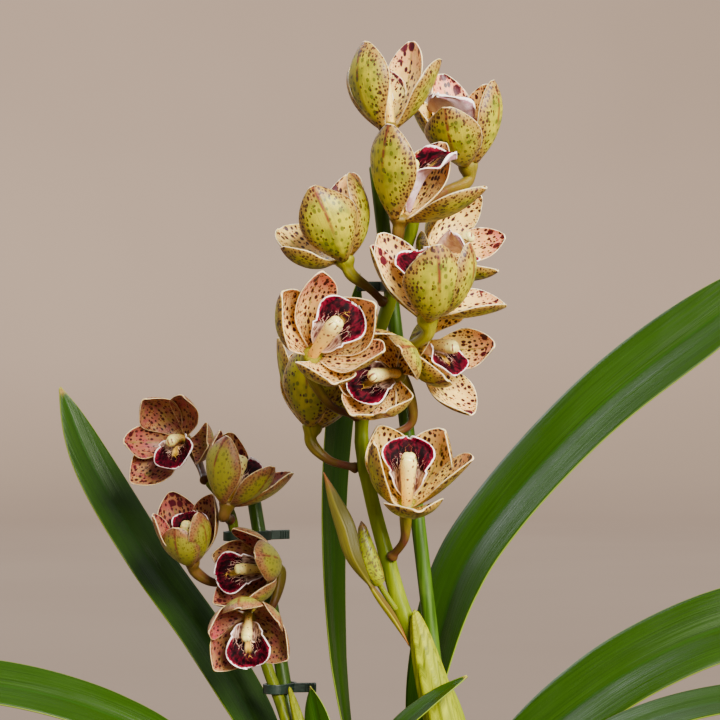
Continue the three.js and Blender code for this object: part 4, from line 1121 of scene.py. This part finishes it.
def lip_surface(length, reflex, draw):
    """The lip: a trough with raised side lobes and two keels that opens into a ruffled lobe."""
    steps = 24
    spine = [(0.0, LIP_START)]
    for i in range(steps):
        lean = lip_lean((i + 0.5) / steps, reflex)
        spine.append((
            spine[-1][0] + length / steps * math.sin(lean), spine[-1][1] + length / steps * math.cos(lean)))
    phase = draw.uniform(0, 6.3)

    def surface(across, along):
        index = min(int(along * steps), steps - 1)
        part = along * steps - index
        reach = LIP_START + lerp(spine[index][0], spine[index + 1][0], part)
        height = lerp(spine[index][1], spine[index + 1][1], part)
        lean = lip_lean(along, reflex)
        opened = clamp((along - LIP_BEND) / 0.25)
        fold = math.radians(95 - 68 * opened)
        half = lip_half(along)
        wave = opened * 0.9 * abs(across) * math.sin(9 * along + 5 * across)
        edge = max(abs(across) ** 4, smoothstep(along, 0.8, 1.0))
        ruffle = math.sin(17 * along + 9 * across * abs(across) + phase)
        wave += 0.75 * edge * smoothstep(along, 0.2, 0.55) * ruffle
        keels = math.exp(-(((abs(across) * half - 1.7) / 0.8) ** 2)) * smoothstep(along, 0.12, 0.25)
        keels *= 1.5 * (1 - smoothstep(along, 0.52, 0.66))
        swing = fold * across
        inward = Vector((0, math.cos(lean), math.sin(lean)))
        point = Vector((-(half / fold) * math.sin(swing), -reach, height))
        normal = inward * math.cos(swing) + Vector((math.sin(swing), 0, 0))
        point += inward * ((half / fold) * (1 - math.cos(swing)) + wave) + normal * keels
        rim = min((1 - abs(across)) * half, (1 - along) * length)
        thick = lerp(1.1, 0.6, abs(across) ** 2)
        return point, normal, thick, (across * half, along * length), rim

    return surface


def add_column(bm, length, turn, seed, material):
    """The column leans over the lip, is hollowed below and swells to its cap."""
    back, low = COLUMN_FOOT
    points = [(0, back - COLUMN_BOW * share * share, low + length * share) for share in (0, 0.35, 0.7, 1)]
    start = len(bm.verts)

    def radius_at(share, angle):
        body = (2.7 + 1.8 * share ** 2) * (1 + 0.08 * math.cos(2 * angle))
        return body * lerp(1, 0.8, smoothstep(share, 0.9, 1))

    bend_tube(bm, Path(points), radius_at, 18, 16, material, seed)
    cap = bmesh.ops.create_uvsphere(bm, u_segments=18, v_segments=12, radius=CAP_RADIUS)["verts"]
    place, flat, _ = carried(bm)
    for v in cap:
        v[place] = (0, 1, 1, 0)
        v[flat] = (v.co.x / 10, v.co.z / 10 + 9, seed)
        notch = math.exp(-(v.co.x / 0.7) ** 2) * (0.5 if v.co.y < 0 else 0.2)
        v.co = Vector((v.co.x * 1.02, v.co.y * 0.86, v.co.z * 0.8 - notch))
        v.co += Vector((0, back - COLUMN_BOW - 0.6, low + length + 0.4))
    dress({f for v in cap for f in v.link_faces}, material)
    bm.verts.ensure_lookup_table()
    bmesh.ops.transform(bm, matrix=turn, verts=bm.verts[start:])


def add_stalk(bm, spec, facing, material, seed):
    """Ovary and stalk, from a collar on the spike to the receptacle that the sepals stand on."""
    size = spec["size"]
    base = Vector(spec["base"])
    points = [*spec["stalk"], base - facing * (OVARY_DROP * size), base + facing * (0.6 * size)]

    def radius_at(share, angle):
        ribs = 0.07 * math.cos(3 * angle) * smoothstep(share, 0.3, 0.7)
        body = lerp(STALK_RADIUS, OVARY_RADIUS, smoothstep(share, 0.25, 0.8)) * (1 + ribs)
        collar = 0.9 * (1 - smoothstep(share, 0.0, 0.1))
        crown = (RECEPTACLE_RADIUS * 0.86 * size - body) * smoothstep(share, 0.84, 0.985)
        return body + collar + crown

    bend_tube(bm, Path(points), radius_at, 20, 44, material, seed)


def bloom_turn(spec):
    """The move that takes the bloom's own frame, at its own size, to its place."""
    facing = Vector(spec["facing"]).normalized()
    lipward = Vector(spec["lip"])
    up = -(lipward - facing * lipward.dot(facing)).normalized()
    turn = Matrix((up.cross(facing), up, facing)).transposed().to_4x4()
    return Matrix.Translation(spec["base"]) @ turn @ Matrix.Scale(spec["size"], 4), facing


def add_bloom(name, entry, flower, slot, materials, lip_finish, seed):
    """One bloom and its lip, as two pieces."""
    spec = {**BLOOM, **entry}
    draw = random.Random(seed)
    turn, facing = bloom_turn(spec)
    bm = new_mesh()
    for i, angle in enumerate(spec["angles"]):
        petal = i in (1, 2)
        surface = tepal_surface(
            length=(flower.petal_length if petal else flower.sepal_length) / MM * spec["length"][i],
            width=(flower.petal_width if petal else flower.sepal_width) / MM,
            angle=angle, flare=spec["flare"][i], curl=spec["curl"][i],
            cup=PETAL_CUP if petal else SEPAL_CUP, rise=PETAL_RISE if petal else SEPAL_RISE,
            thickness=flower.tepal_thickness / MM, draw=draw)
        flush = draw.uniform(0.55, 1.0) if petal else draw.uniform(0.0, 0.45)
        seed = draw.uniform(0, 9)
        bend_blade(bm, surface, 18, 34, flush=flush, ruddy=spec["ruddy"], seed=seed, turn=turn)
    add_column(bm, flower.column_length / MM, turn, draw.uniform(0, 9), 1)
    add_stalk(bm, spec, facing, 2, draw.uniform(0, 9))
    finish_piece(bm, f"Bloom_{name}", materials, slot, f"bloom_{name}")
    bm = new_mesh()
    surface = lip_surface(flower.lip_length / MM, spec["reflex"], draw)
    turn = turn @ Matrix.Scale(spec["lip_size"], 4)
    bend_blade(bm, surface, 32, 44, seed=draw.uniform(0, 9), turn=turn)
    finish_piece(bm, f"Lip_{name}", [lip_finish], "lip", f"lip_{name}")


# ---- Leaves, spikes and what holds them ----

def leaf_share(along):
    swell = 0.3 + 0.7 * smoothstep(along, 0, 0.45)
    return swell * max(1 - max(0, (along - 0.68) / 0.32) ** 3.5, 0.02)


def leaf_surface(points, up_foot, up_tip, width, thickness, draw):
    """A strap leaf, folded along its midrib, widest past its middle and drawn out to a point."""
    path = Path(points)
    foot, tip = Vector(up_foot).normalized(), Vector(up_tip).normalized()
    phase, swell = draw.uniform(0, 6.3), draw.uniform(0.5, 1.0)

    def surface(across, along):
        tangent = path.tangent(along)
        normal = foot.lerp(tip, along)
        normal = (normal - tangent * normal.dot(tangent)).normalized()
        sideways = tangent.cross(normal).normalized()
        half = 0.5 * width * leaf_share(along)
        crease = math.radians(lerp(38, 10, min(1, along * 2.5)))
        lift = math.sqrt(across * across + 0.006) - 0.0775
        bulge = 0.045 * half * math.sin(math.pi * abs(across)) * smoothstep(along, 0.1, 0.4)
        wave = swell * abs(across) ** 3 * math.sin(7 * along + phase + across)
        wave *= smoothstep(along, 0.1, 0.4)
        point = path.at(along) + sideways * (half * across * math.cos(crease))
        point += normal * (half * lift * math.sin(crease) + bulge + wave)
        rim = min((1 - abs(across)) * half, (1 - along) * path.length)
        thick = thickness * lerp(1.25, 0.6, smoothstep(abs(across), 0, 1)) * lerp(1.3, 0.8, along)
        return point, normal, thick, (across * half, along * path.length), rim

    return surface


def bulb_radius(height):
    """The bulb's radius at a height above the bark's top, less its sunk foot."""
    share = clamp((height - BARK_TOP + BULB_SUNK) / (BULB_HEIGHT + BULB_SUNK))
    return BULB_RADIUS * (0.62 + 0.42 * math.sin(math.pi * (0.12 + 0.8 * share)))


def leaf_base_surface(centre, foot, layer, width):
    """The foot of a leaf, wrapped round its bulb and drawn together where the leaf rises from it."""
    right, back = foot[0] - centre[0], (foot[1] - centre[1]) / BULB_SQUASH
    angle, away = math.atan2(back, right), math.hypot(right, back)
    low = BARK_TOP - BULB_SUNK + 4

    def surface(across, along):
        height = lerp(low, foot[2] + 9, along)
        gather = smoothstep(along, 0.45, 1)
        radius = lerp(bulb_radius(height) + 0.9 + layer, away + 0.4, gather)
        half = lerp(1.35 * (BULB_RADIUS - layer), width * 0.17, gather) * (1 - 0.2 * abs(along - 0.4))
        spread = half / max(radius, 4)
        turned = angle + across * min(spread, 1.9)
        lift = 1.3 * abs(across) ** 3 * math.sin(5 * along + layer * 3)
        out = Vector((math.cos(turned), BULB_SQUASH * math.sin(turned), 0))
        point = Vector((centre[0], centre[1], height)) + out * (radius + lift)
        rim = min((1 - abs(across)) * half, (1 - along) * 50)
        return point, out.normalized(), 0.8, (across * half, along * 60), rim

    return surface


# ---- Operators ----

class ORCHID_OT_blooms(bpy.types.Operator):
    """Builds the blooms and their lips on both flower spikes"""
    bl_idname = "orchid.blooms"
    bl_label = "Blooms"

    def execute(self, context):
        flower = context.scene.orchid_flower
        lip = lip_material("Lip Velvet", flower)
        for label, table, slot, left in (
                ("Main", MAIN_BLOOMS, "bloom", False), ("Left", LEFT_BLOOMS, "left_bloom", True)):
            materials = [
                tepal_material(f"{label} Petals", flower, left), column_material(f"{label} Column", left),
                stalk_material(f"{label} Stalks", left)]
            for i, (name, entry) in enumerate(table.items()):
                add_bloom(name, entry, flower, slot, materials, lip, BLOOM_SEED + i + 20 * left)
        return {"FINISHED"}


class ORCHID_OT_spikes(bpy.types.Operator):
    """Builds the two flower spikes with their sheaths, the bud and its bract"""
    bl_idname = "orchid.spikes"
    bl_label = "Flower Spikes"

    def execute(self, context):
        foliage = context.scene.orchid_foliage
        # The second colour is the painted shade of the sheath's pleats.
        sheath = sheath_material("Sheath", foliage.sheath_lime, 0x4E5A00, 0xBAC000, 0.12)
        main = stem_material("Main Stem", foliage.stem_lime, 0x4E5E00, 0.4)
        left = stem_material("Left Stem", 0x5E6A0C, 0x465008, 0.7)
        self.spike("main", [main, sheath])
        self.spike("left", [left, sheath])
        self.bud()
        self.bract()
        return {"FINISHED"}

    def spike(self, name, materials):
        spec = SPIKES[name]
        path = Path(spec["points"])
        joints = [path.share_at_height(entry["stalk"][0][2] - 1) for entry in spec["blooms"].values()]
        joints += spec["joints"]

        def radius_at(share, turn):
            body = lerp(*spec["radii"], smoothstep(share, 0.25, 0.75) if name == "main" else share)
            swell = sum(math.exp(-((share - joint) / 0.008) ** 2) for joint in joints)
            return body * (1 + 0.09 * min(swell, 1.2) + 0.025 * math.cos(5 * turn + 9 * share))

        bm = new_mesh()
        bend_tube(bm, path, radius_at, 24, 150)

        def sheath_radius(share, turn):
            body = math.sqrt(max(1 - share ** 2, 0)) * 0.85 + 0.15 * (1 - share ** 6)
            pleats = 0.045 * math.cos(9 * turn + 2 * share) + 0.03 * math.cos(4 * turn)
            return spec["sheath_radius"] * body * (1 + pleats)

        bend_tube(bm, Path(spec["sheath"]), sheath_radius, 40, 60, 1, seed=2.0)
        finish_piece(bm, f"Spike_{name}", materials, "stem", f"spike_{name}")

    def bud(self):
        stalk, widest = BUD_RADIUS

        def radius_at(share, turn):
            along = (share - BUD_STALK) / (1 - BUD_STALK)
            if along < 0:
                return stalk
            body = stalk + (widest - stalk) * math.sin(math.pi * (0.08 + 0.92 * along) ** 0.8)
            seam = 0.05 * math.exp(-(math.sin(1.5 * turn + 0.6) / 0.18) ** 2)
            body = lerp(stalk, body, smoothstep(along, 0, 0.05)) * (1 - seam)
            return body * lerp(1, 0.3, smoothstep(along, 0.93, 1))

        bm = new_mesh()
        bend_tube(bm, Path(BUD), radius_at, 30, 36, seed=5.0)
        finish_piece(bm, "Bud", [bud_material()], "bloom", "bud")

    def bract(self):
        path = Path(BRACT)

        def surface(across, along):
            tangent = path.tangent(along)
            normal = Vector((-0.2, -0.95, -0.2))
            normal = (normal - tangent * normal.dot(tangent)).normalized()
            foot = BRACT_FOOT_HALF_WIDTH * math.sin(math.pi * min(along / 0.45, 1))
            half = max(foot, BRACT_HALF_WIDTH * math.sin(math.pi * max(along - 0.34, 0) / 0.66), 0.3)
            point = path.at(along) + tangent.cross(normal) * (half * across)
            point += normal * (0.5 * half * (1 - abs(across) ** 1.4))
            rim = (1 - abs(across)) * half
            return point, normal, BRACT_THICKNESS, (across * half, along * path.length), rim

        bm = new_mesh()
        bend_blade(bm, surface, 14, 60, seed=3.0)
        finish_piece(bm, "Bract", [bract_material()], "bract", "bract")


class ORCHID_OT_leaves(bpy.types.Operator):
    """Builds the strap leaves"""
    bl_idname = "orchid.leaves"
    bl_label = "Leaves"

    def execute(self, context):
        foliage = context.scene.orchid_foliage
        material = leaf_material(foliage)
        for i, (name, (points, foot, tip, width, _)) in enumerate(LEAVES.items()):
            draw = random.Random(LEAF_SEED + i)
            bm = new_mesh()
            surface = leaf_surface(points, foot, tip, width, foliage.leaf_thickness / MM, draw)
            bend_blade(bm, surface, 20, 110, seed=draw.uniform(0, 9))
            finish_piece(bm, f"Leaf_{name}", [material], "leaf", f"leaf_{name}")
        return {"FINISHED"}


class ORCHID_OT_supports(bpy.types.Operator):
    """Builds the stakes and the clips that hold the flower spikes to them"""
    bl_idname = "orchid.supports"
    bl_label = "Stakes and Clips"

    def execute(self, context):
        support = context.scene.orchid_support
        material = stake_material(support)
        for name, points in STAKES.items():
            bm = new_mesh()
            bend_tube(bm, Path(points), lambda share, turn: STAKE_RADIUS, 28, 40)
            finish_piece(bm, name.title(), [material], "stake", name)
        plastic = clip_material(support)
        for name, (side, height, handle) in CLIPS.items():
            self.clip(name, side, height, Vector(handle).normalized(), support, plastic)
        return {"FINISHED"}

    def clip(self, name, side, height, handle, support, plastic):
        spike = Path(SPIKES[side]["points"])
        stake = Path(STAKES[f"stake_{side}"])
        front = spike.at(spike.share_at_height(height))
        behind = stake.at(stake.share_at_height(height))
        middle = (front + behind) / 2
        gap = (behind - front).to_2d()
        outer = STAKE_RADIUS + CLIP_ROOM + CLIP_WALL
        band_height = support.clip_height / MM
        grip_length = support.grip_length / MM
        bm = new_mesh()
        ring = bmesh.ops.create_circle(bm, segments=48, radius=outer)
        for v in ring["verts"]:
            if abs(v.co.x) > 1e-3:
                v.co.x += math.copysign(gap.length / 2, v.co.x)
        walls = bmesh.ops.extrude_edge_only(bm, edges=bm.edges[:])["geom"]
        raised = [g for g in walls if isinstance(g, bmesh.types.BMVert)]
        bmesh.ops.translate(bm, vec=(0, 0, band_height), verts=raised)
        bmesh.ops.translate(bm, vec=(0, 0, -band_height / 2), verts=bm.verts)
        bmesh.ops.recalc_face_normals(bm, faces=bm.faces)
        bmesh.ops.solidify(bm, geom=bm.faces[:], thickness=CLIP_WALL)
        bmesh.ops.rotate(bm, matrix=Matrix.Rotation(math.atan2(gap.y, gap.x), 3, "Z"), verts=bm.verts)
        reach = self.band_reach(gap, handle, outer - CLIP_WALL / 2)
        grip = bmesh.ops.create_cube(bm, size=1)["verts"]
        bmesh.ops.scale(bm, vec=(grip_length, GRIP_THICKNESS, band_height), verts=grip)
        along, across, share = RIDGE_SIZE
        for i in range(GRIP_RIDGES):
            ridge = bmesh.ops.create_cube(bm, size=1)["verts"]
            bmesh.ops.scale(bm, vec=(along, across, band_height * share), verts=ridge)
            bmesh.ops.translate(bm, vec=(grip_length * (0.05 + 0.12 * i), 0, 0), verts=ridge)
            grip += ridge
        bmesh.ops.translate(bm, vec=(reach + grip_length / 2, 0, 0), verts=grip)
        bmesh.ops.rotate(bm, matrix=Matrix.Rotation(math.atan2(handle.y, handle.x), 3, "Z"), verts=grip)
        bmesh.ops.bevel(
            bm, geom=[e for e in bm.edges if e.calc_face_angle(0) > 0.6], offset=CLIP_BEVEL, segments=2,
            profile=0.5, affect="EDGES", material=-1)
        bmesh.ops.recalc_face_normals(bm, faces=bm.faces)
        bmesh.ops.translate(bm, vec=middle, verts=bm.verts)
        for f in bm.faces:
            f.smooth = False
        finish_piece(bm, name.title(), [plastic], "clip", name)

    def band_reach(self, gap, handle, radius):
        """The distance from a clip's middle, in the handle's direction, to the middle of its band."""
        direction = handle.to_2d()
        half = gap / 2
        reach = 0.0
        while True:
            point = direction * reach
            along = clamp(point.dot(half) / half.length_squared, -1, 1)
            if (point - half * along).length >= radius:
                return reach
            reach += 0.05


class ORCHID_OT_bulbs(bpy.types.Operator):
    """Builds the pseudobulbs, wrapped in the feet of their leaves"""
    bl_idname = "orchid.bulbs"
    bl_label = "Bulbs"

    def execute(self, context):
        skin = bulb_material()
        # The second colour of each is the painted shade of its pleats.
        green = sheath_material("Leaf Base", 0x567008, 0x3E5C04, 0x7C9018, 0.3)
        papery = sheath_material("Papery Sheath", 0xA08048, 0x7E5E2E, 0xB89A66, 0.9)
        for i, (name, centre) in enumerate(BULBS.items()):
            bm = new_mesh()
            draw = random.Random(BULB_SEED + i)
            ball = bmesh.ops.create_uvsphere(bm, u_segments=40, v_segments=28, radius=1)["verts"]
            for v in ball:
                share = (v.co.z + 1) / 2
                turn = math.atan2(v.co.y, v.co.x)
                radius = BULB_RADIUS * (1 + 0.02 * math.cos(11 * turn + 3 * share))
                v.co = Vector((
                    centre[0] + v.co.x * radius, centre[1] + BULB_SQUASH * v.co.y * radius,
                    BARK_TOP - BULB_SUNK + share * (BULB_HEIGHT + BULB_SUNK)))
            dress(bm.faces)
            leaves = [leaf for leaf in LEAVES.values() if leaf[4] == name]
            for layer, (points, _, _, width, _) in enumerate(leaves):
                surface = leaf_base_surface(centre, points[0], BULB_LAYER * layer, width)
                bend_blade(bm, surface, 24, 30, 1, seed=draw.uniform(0, 9))
            for layer in range(len(leaves), len(leaves) + OLD_SHEATHS):
                turn = draw.uniform(0, 6.3)
                x, y = centre[0] + 17 * math.cos(turn), centre[1] + 15 * math.sin(turn)
                low_foot = (x, y, draw.uniform(138, 150))
                surface = leaf_base_surface(centre, low_foot, BULB_LAYER * layer, 30)
                bend_blade(bm, surface, 20, 16, 2, seed=draw.uniform(0, 9))
            finish_piece(bm, name.title(), [skin, green, papery], "bulb", name)
        return {"FINISHED"}


class ORCHID_OT_pot(bpy.types.Operator):
    """Builds the pot and the bark that fills it"""
    bl_idname = "orchid.pot"
    bl_label = "Pot and Bark"

    def execute(self, context):
        settings = context.scene.orchid_pot
        self.pot(settings)
        self.bed(settings)
        self.chips(settings)
        return {"FINISHED"}

    def radius(self, height):
        return lerp(POT_BASE_RADIUS, POT_TOP_RADIUS, height / POT_HEIGHT)

    def pot(self, settings):
        under = POT_HEIGHT - POT_RIM_DEPTH
        inner = POT_TOP_RADIUS - POT_WALL
        outer = POT_TOP_RADIUS + POT_RIM
        base = POT_BASE_RADIUS
        outline = [(0, 0), (base - 1.5, 0), (base - 0.4, 0.4), (base + 0.2, 1.5)]
        for low in POT_FOOT[:2]:
            outline += [(self.radius(low), low), (self.radius(low) + 0.7, low + 0.8)]
        outline += [(self.radius(POT_FOOT[2]), POT_FOOT[2])]
        outline += [(self.radius(under) - 0.2, under - 1), (self.radius(under) + 0.6, under)]
        rim = self.radius(under) + POT_RIM
        outline += [(rim - 0.7, under + 1.2), (rim, under + 2), (outer - 0.2, POT_HEIGHT - 3)]
        outline += [(outer, POT_HEIGHT - 1.2), (outer - 0.5, POT_HEIGHT - 0.3), (outer - 1.3, POT_HEIGHT)]
        outline += [(inner + 1.2, POT_HEIGHT), (inner + 0.3, POT_HEIGHT - 0.3), (inner, POT_HEIGHT - 1.2)]
        outline += [(self.radius(POT_FLOOR) - POT_WALL, POT_FLOOR), (0, POT_FLOOR)]
        bm = new_mesh()
        spin_outline(bm, outline, 128, 1e-3)
        piece = finish_piece(bm, "Pot", [pot_material(settings)], "pot", "pot")
        cutter = bmesh.new()
        circle, radius = DRAIN_CIRCLE * MM, DRAIN_RADIUS * MM
        for i in range(DRAIN_HOLES):
            turn = (i + 0.5) / DRAIN_HOLES * 2 * math.pi
            place = Matrix.Translation((circle * math.cos(turn), circle * math.sin(turn), 0))
            bmesh.ops.create_cone(
                cutter, cap_ends=True, segments=32, radius1=radius, radius2=radius, depth=3 * POT_FLOOR * MM,
                matrix=place)
        mesh = bpy.data.meshes.new("Drain Holes")
        cutter.to_mesh(mesh)
        cutter.free()
        holes = add_object("Drain_Holes", mesh)
        cut = piece.modifiers.new("Drain Holes", "BOOLEAN")
        cut.object = holes
        cut.solver = "EXACT"
        bpy.context.view_layer.update()
        graph = bpy.context.evaluated_depsgraph_get()
        bored = bpy.data.meshes.new_from_object(piece.evaluated_get(graph))
        piece.modifiers.clear()
        piece.data = bored
        bpy.data.objects.remove(holes)

    def lumps(self, x, y):
        coarse = noise.noise(Vector((x / 9, y / 9, 3.3)))
        fine = noise.noise(Vector((x / 3.5, y / 3.5, 7.1)))
        return 2.6 * coarse + 1.2 * fine

    def bed(self, settings):
        floor = POT_FLOOR + BARK_GAP
        wall = POT_WALL + BARK_GAP
        edge = self.radius(BARK_TOP) - wall
        outline = [(0, floor), (self.radius(floor) - wall, floor), (edge, BARK_TOP)]
        outline += [(share * edge / 40, BARK_TOP) for share in range(39, -1, -1)]
        bm = new_mesh()
        spin_outline(bm, outline, 110, 1e-3)
        for v in bm.verts:
            if v.co.z > BARK_TOP - 1:
                rim = smoothstep(math.hypot(v.co.x, v.co.y), 72, 66)
                v.co.z += self.lumps(v.co.x, v.co.y) * rim - 1.5
        # The bed is darkened as painted shade, for the hollows between the loose chips.
        finish_piece(bm, "Bark_Bed", [bark_material(settings, "Shaded Bark", 0.45)], "bark", "bark")

    def chips(self, settings):
        draw = random.Random(settings.seed)
        taken = [*((x, y, BULB_RADIUS + 1) for x, y in BULBS.values()), *STEM_FEET]
        bm = new_mesh()
        placed = 0
        while placed < settings.chips:
            radius = CHIP_SPREAD * math.sqrt(draw.random())
            turn = draw.uniform(0, 2 * math.pi)
            x, y = radius * math.cos(turn), radius * math.sin(turn)
            size = (draw.uniform(6, 15), draw.uniform(4, 9), draw.uniform(2.5, 5))
            if any(math.hypot(x - a, y - b) < reach + size[0] * 0.4 for a, b, reach in taken):
                continue
            if radius + size[0] / 2 > CHIP_REACH:
                continue
            height = BARK_TOP + self.lumps(x, y) + draw.uniform(-1.5, 2.4)
            chip = bmesh.ops.create_cube(bm, size=1)["verts"]
            bmesh.ops.scale(bm, vec=size, verts=chip)
            for v in chip:
                v.co += Vector([draw.uniform(-most, most) for most in CHIP_UNEVEN]) * size[1]
            lean = Matrix.Rotation(draw.uniform(-0.5, 0.5), 3, "X")
            lean @= Matrix.Rotation(draw.uniform(-0.5, 0.5), 3, "Y")
            lie = Matrix.Rotation(draw.uniform(0, 6.3), 3, "Z") @ lean
            bmesh.ops.rotate(bm, matrix=lie, verts=chip)
            bmesh.ops.translate(bm, vec=(x, y, height), verts=chip)
            placed += 1
        bmesh.ops.bevel(
            bm, geom=bm.edges[:], offset=CHIP_BEVEL, segments=1, profile=0.5, affect="EDGES", material=-1)
        bmesh.ops.recalc_face_normals(bm, faces=bm.faces)
        finish_piece(bm, "Bark_Chips", [bark_material(settings, "Dry Bark", 0.0)], "bark")


class ORCHID_OT_stage(bpy.types.Operator):
    """Builds the pale floor, the soft light and the camera"""
    bl_idname = "orchid.stage"
    bl_label = "Studio"

    def execute(self, context):
        stage = context.scene.orchid_stage
        bm = bmesh.new()
        spin_outline(bm, FLOOR_OUTLINE, 96, 1e-5)
        outward = [f for f in bm.faces if f.normal.z < 0 or f.normal.dot(f.calc_center_median()) > 0]
        bmesh.ops.reverse_faces(bm, faces=outward)
        mesh = bpy.data.meshes.new("Floor")
        bm.to_mesh(mesh)
        bm.free()
        mesh.materials.append(floor_material(stage))
        floor = add_object("Floor", mesh)
        self.light("Key", stage.key, 38, (0.5, -0.76, 0.46), (1, 0.95, 0.86))
        self.light("Rim", stage.rim, 35, (-0.55, 0.6, 0.75), (0.93, 0.96, 1))
        world = bpy.data.worlds.new("Studio")
        world.use_nodes = True
        sky = world.node_tree.nodes["Background"]
        sky.inputs["Color"].default_value = (0.96, 0.97, 1, 1)
        sky.inputs["Strength"].default_value = stage.sky
        context.scene.world = world
        camera = bpy.data.cameras.new("Camera")
        camera.sensor_width = 36
        camera.lens = camera.sensor_width * stage.distance / stage.view
        camera.clip_end = 60
        holder = add_object("Camera", camera)
        holder.location = (CAMERA_PLACE[0], -stage.distance, CAMERA_PLACE[1])
        holder.rotation_euler = (math.radians(90), 0, 0)
        context.scene.camera = holder
        return {"FINISHED"}

    def light(self, name, strength, spread, source, tint):
        lamp = bpy.data.lights.new(name, "SUN")
        lamp.energy = strength
        lamp.angle = math.radians(spread)
        lamp.color = tint
        holder = add_object(name, lamp)
        holder.rotation_euler = Vector(source).to_track_quat("Z", "Y").to_euler()
        holder.location = Vector(source) * 3


class ORCHID_PT_panel(bpy.types.Panel):
    """Lists the orchid's pieces and settings"""
    bl_label = "Potted Orchid"
    bl_idname = "ORCHID_PT_panel"
    bl_space_type = "VIEW_3D"
    bl_region_type = "UI"
    bl_category = "Orchid"

    def draw(self, context):
        for operator, settings in PANEL_ROWS:
            box = self.layout.box()
            box.operator(operator)
            if settings:
                group = getattr(context.scene, settings)
                for name in group.__annotations__:
                    box.prop(group, name)


PANEL_ROWS = (
    ("orchid.blooms", "orchid_flower"),
    ("orchid.spikes", "orchid_foliage"),
    ("orchid.leaves", None),
    ("orchid.supports", "orchid_support"),
    ("orchid.bulbs", None),
    ("orchid.pot", "orchid_pot"),
    ("orchid.stage", "orchid_stage"),
)
SETTINGS = {
    "orchid_flower": OrchidFlowerSettings,
    "orchid_foliage": OrchidFoliageSettings,
    "orchid_support": OrchidSupportSettings,
    "orchid_pot": OrchidPotSettings,
    "orchid_stage": OrchidStageSettings,
}
CLASSES = (
    *SETTINGS.values(), ORCHID_OT_blooms, ORCHID_OT_spikes, ORCHID_OT_leaves, ORCHID_OT_supports,
    ORCHID_OT_bulbs, ORCHID_OT_pot, ORCHID_OT_stage, ORCHID_PT_panel)


def register():
    for cls in CLASSES:
        bpy.utils.register_class(cls)
    for name, cls in SETTINGS.items():
        setattr(bpy.types.Scene, name, PointerProperty(type=cls))


def unregister():
    for name in SETTINGS:
        delattr(bpy.types.Scene, name)
    for cls in reversed(CLASSES):
        bpy.utils.unregister_class(cls)


def main():
    register()
    bpy.ops.orchid.blooms()
    bpy.ops.orchid.spikes()
    bpy.ops.orchid.leaves()
    bpy.ops.orchid.supports()
    bpy.ops.orchid.bulbs()
    bpy.ops.orchid.pot()
    bpy.ops.orchid.stage()
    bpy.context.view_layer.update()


if __name__ == "__main__":
    main()
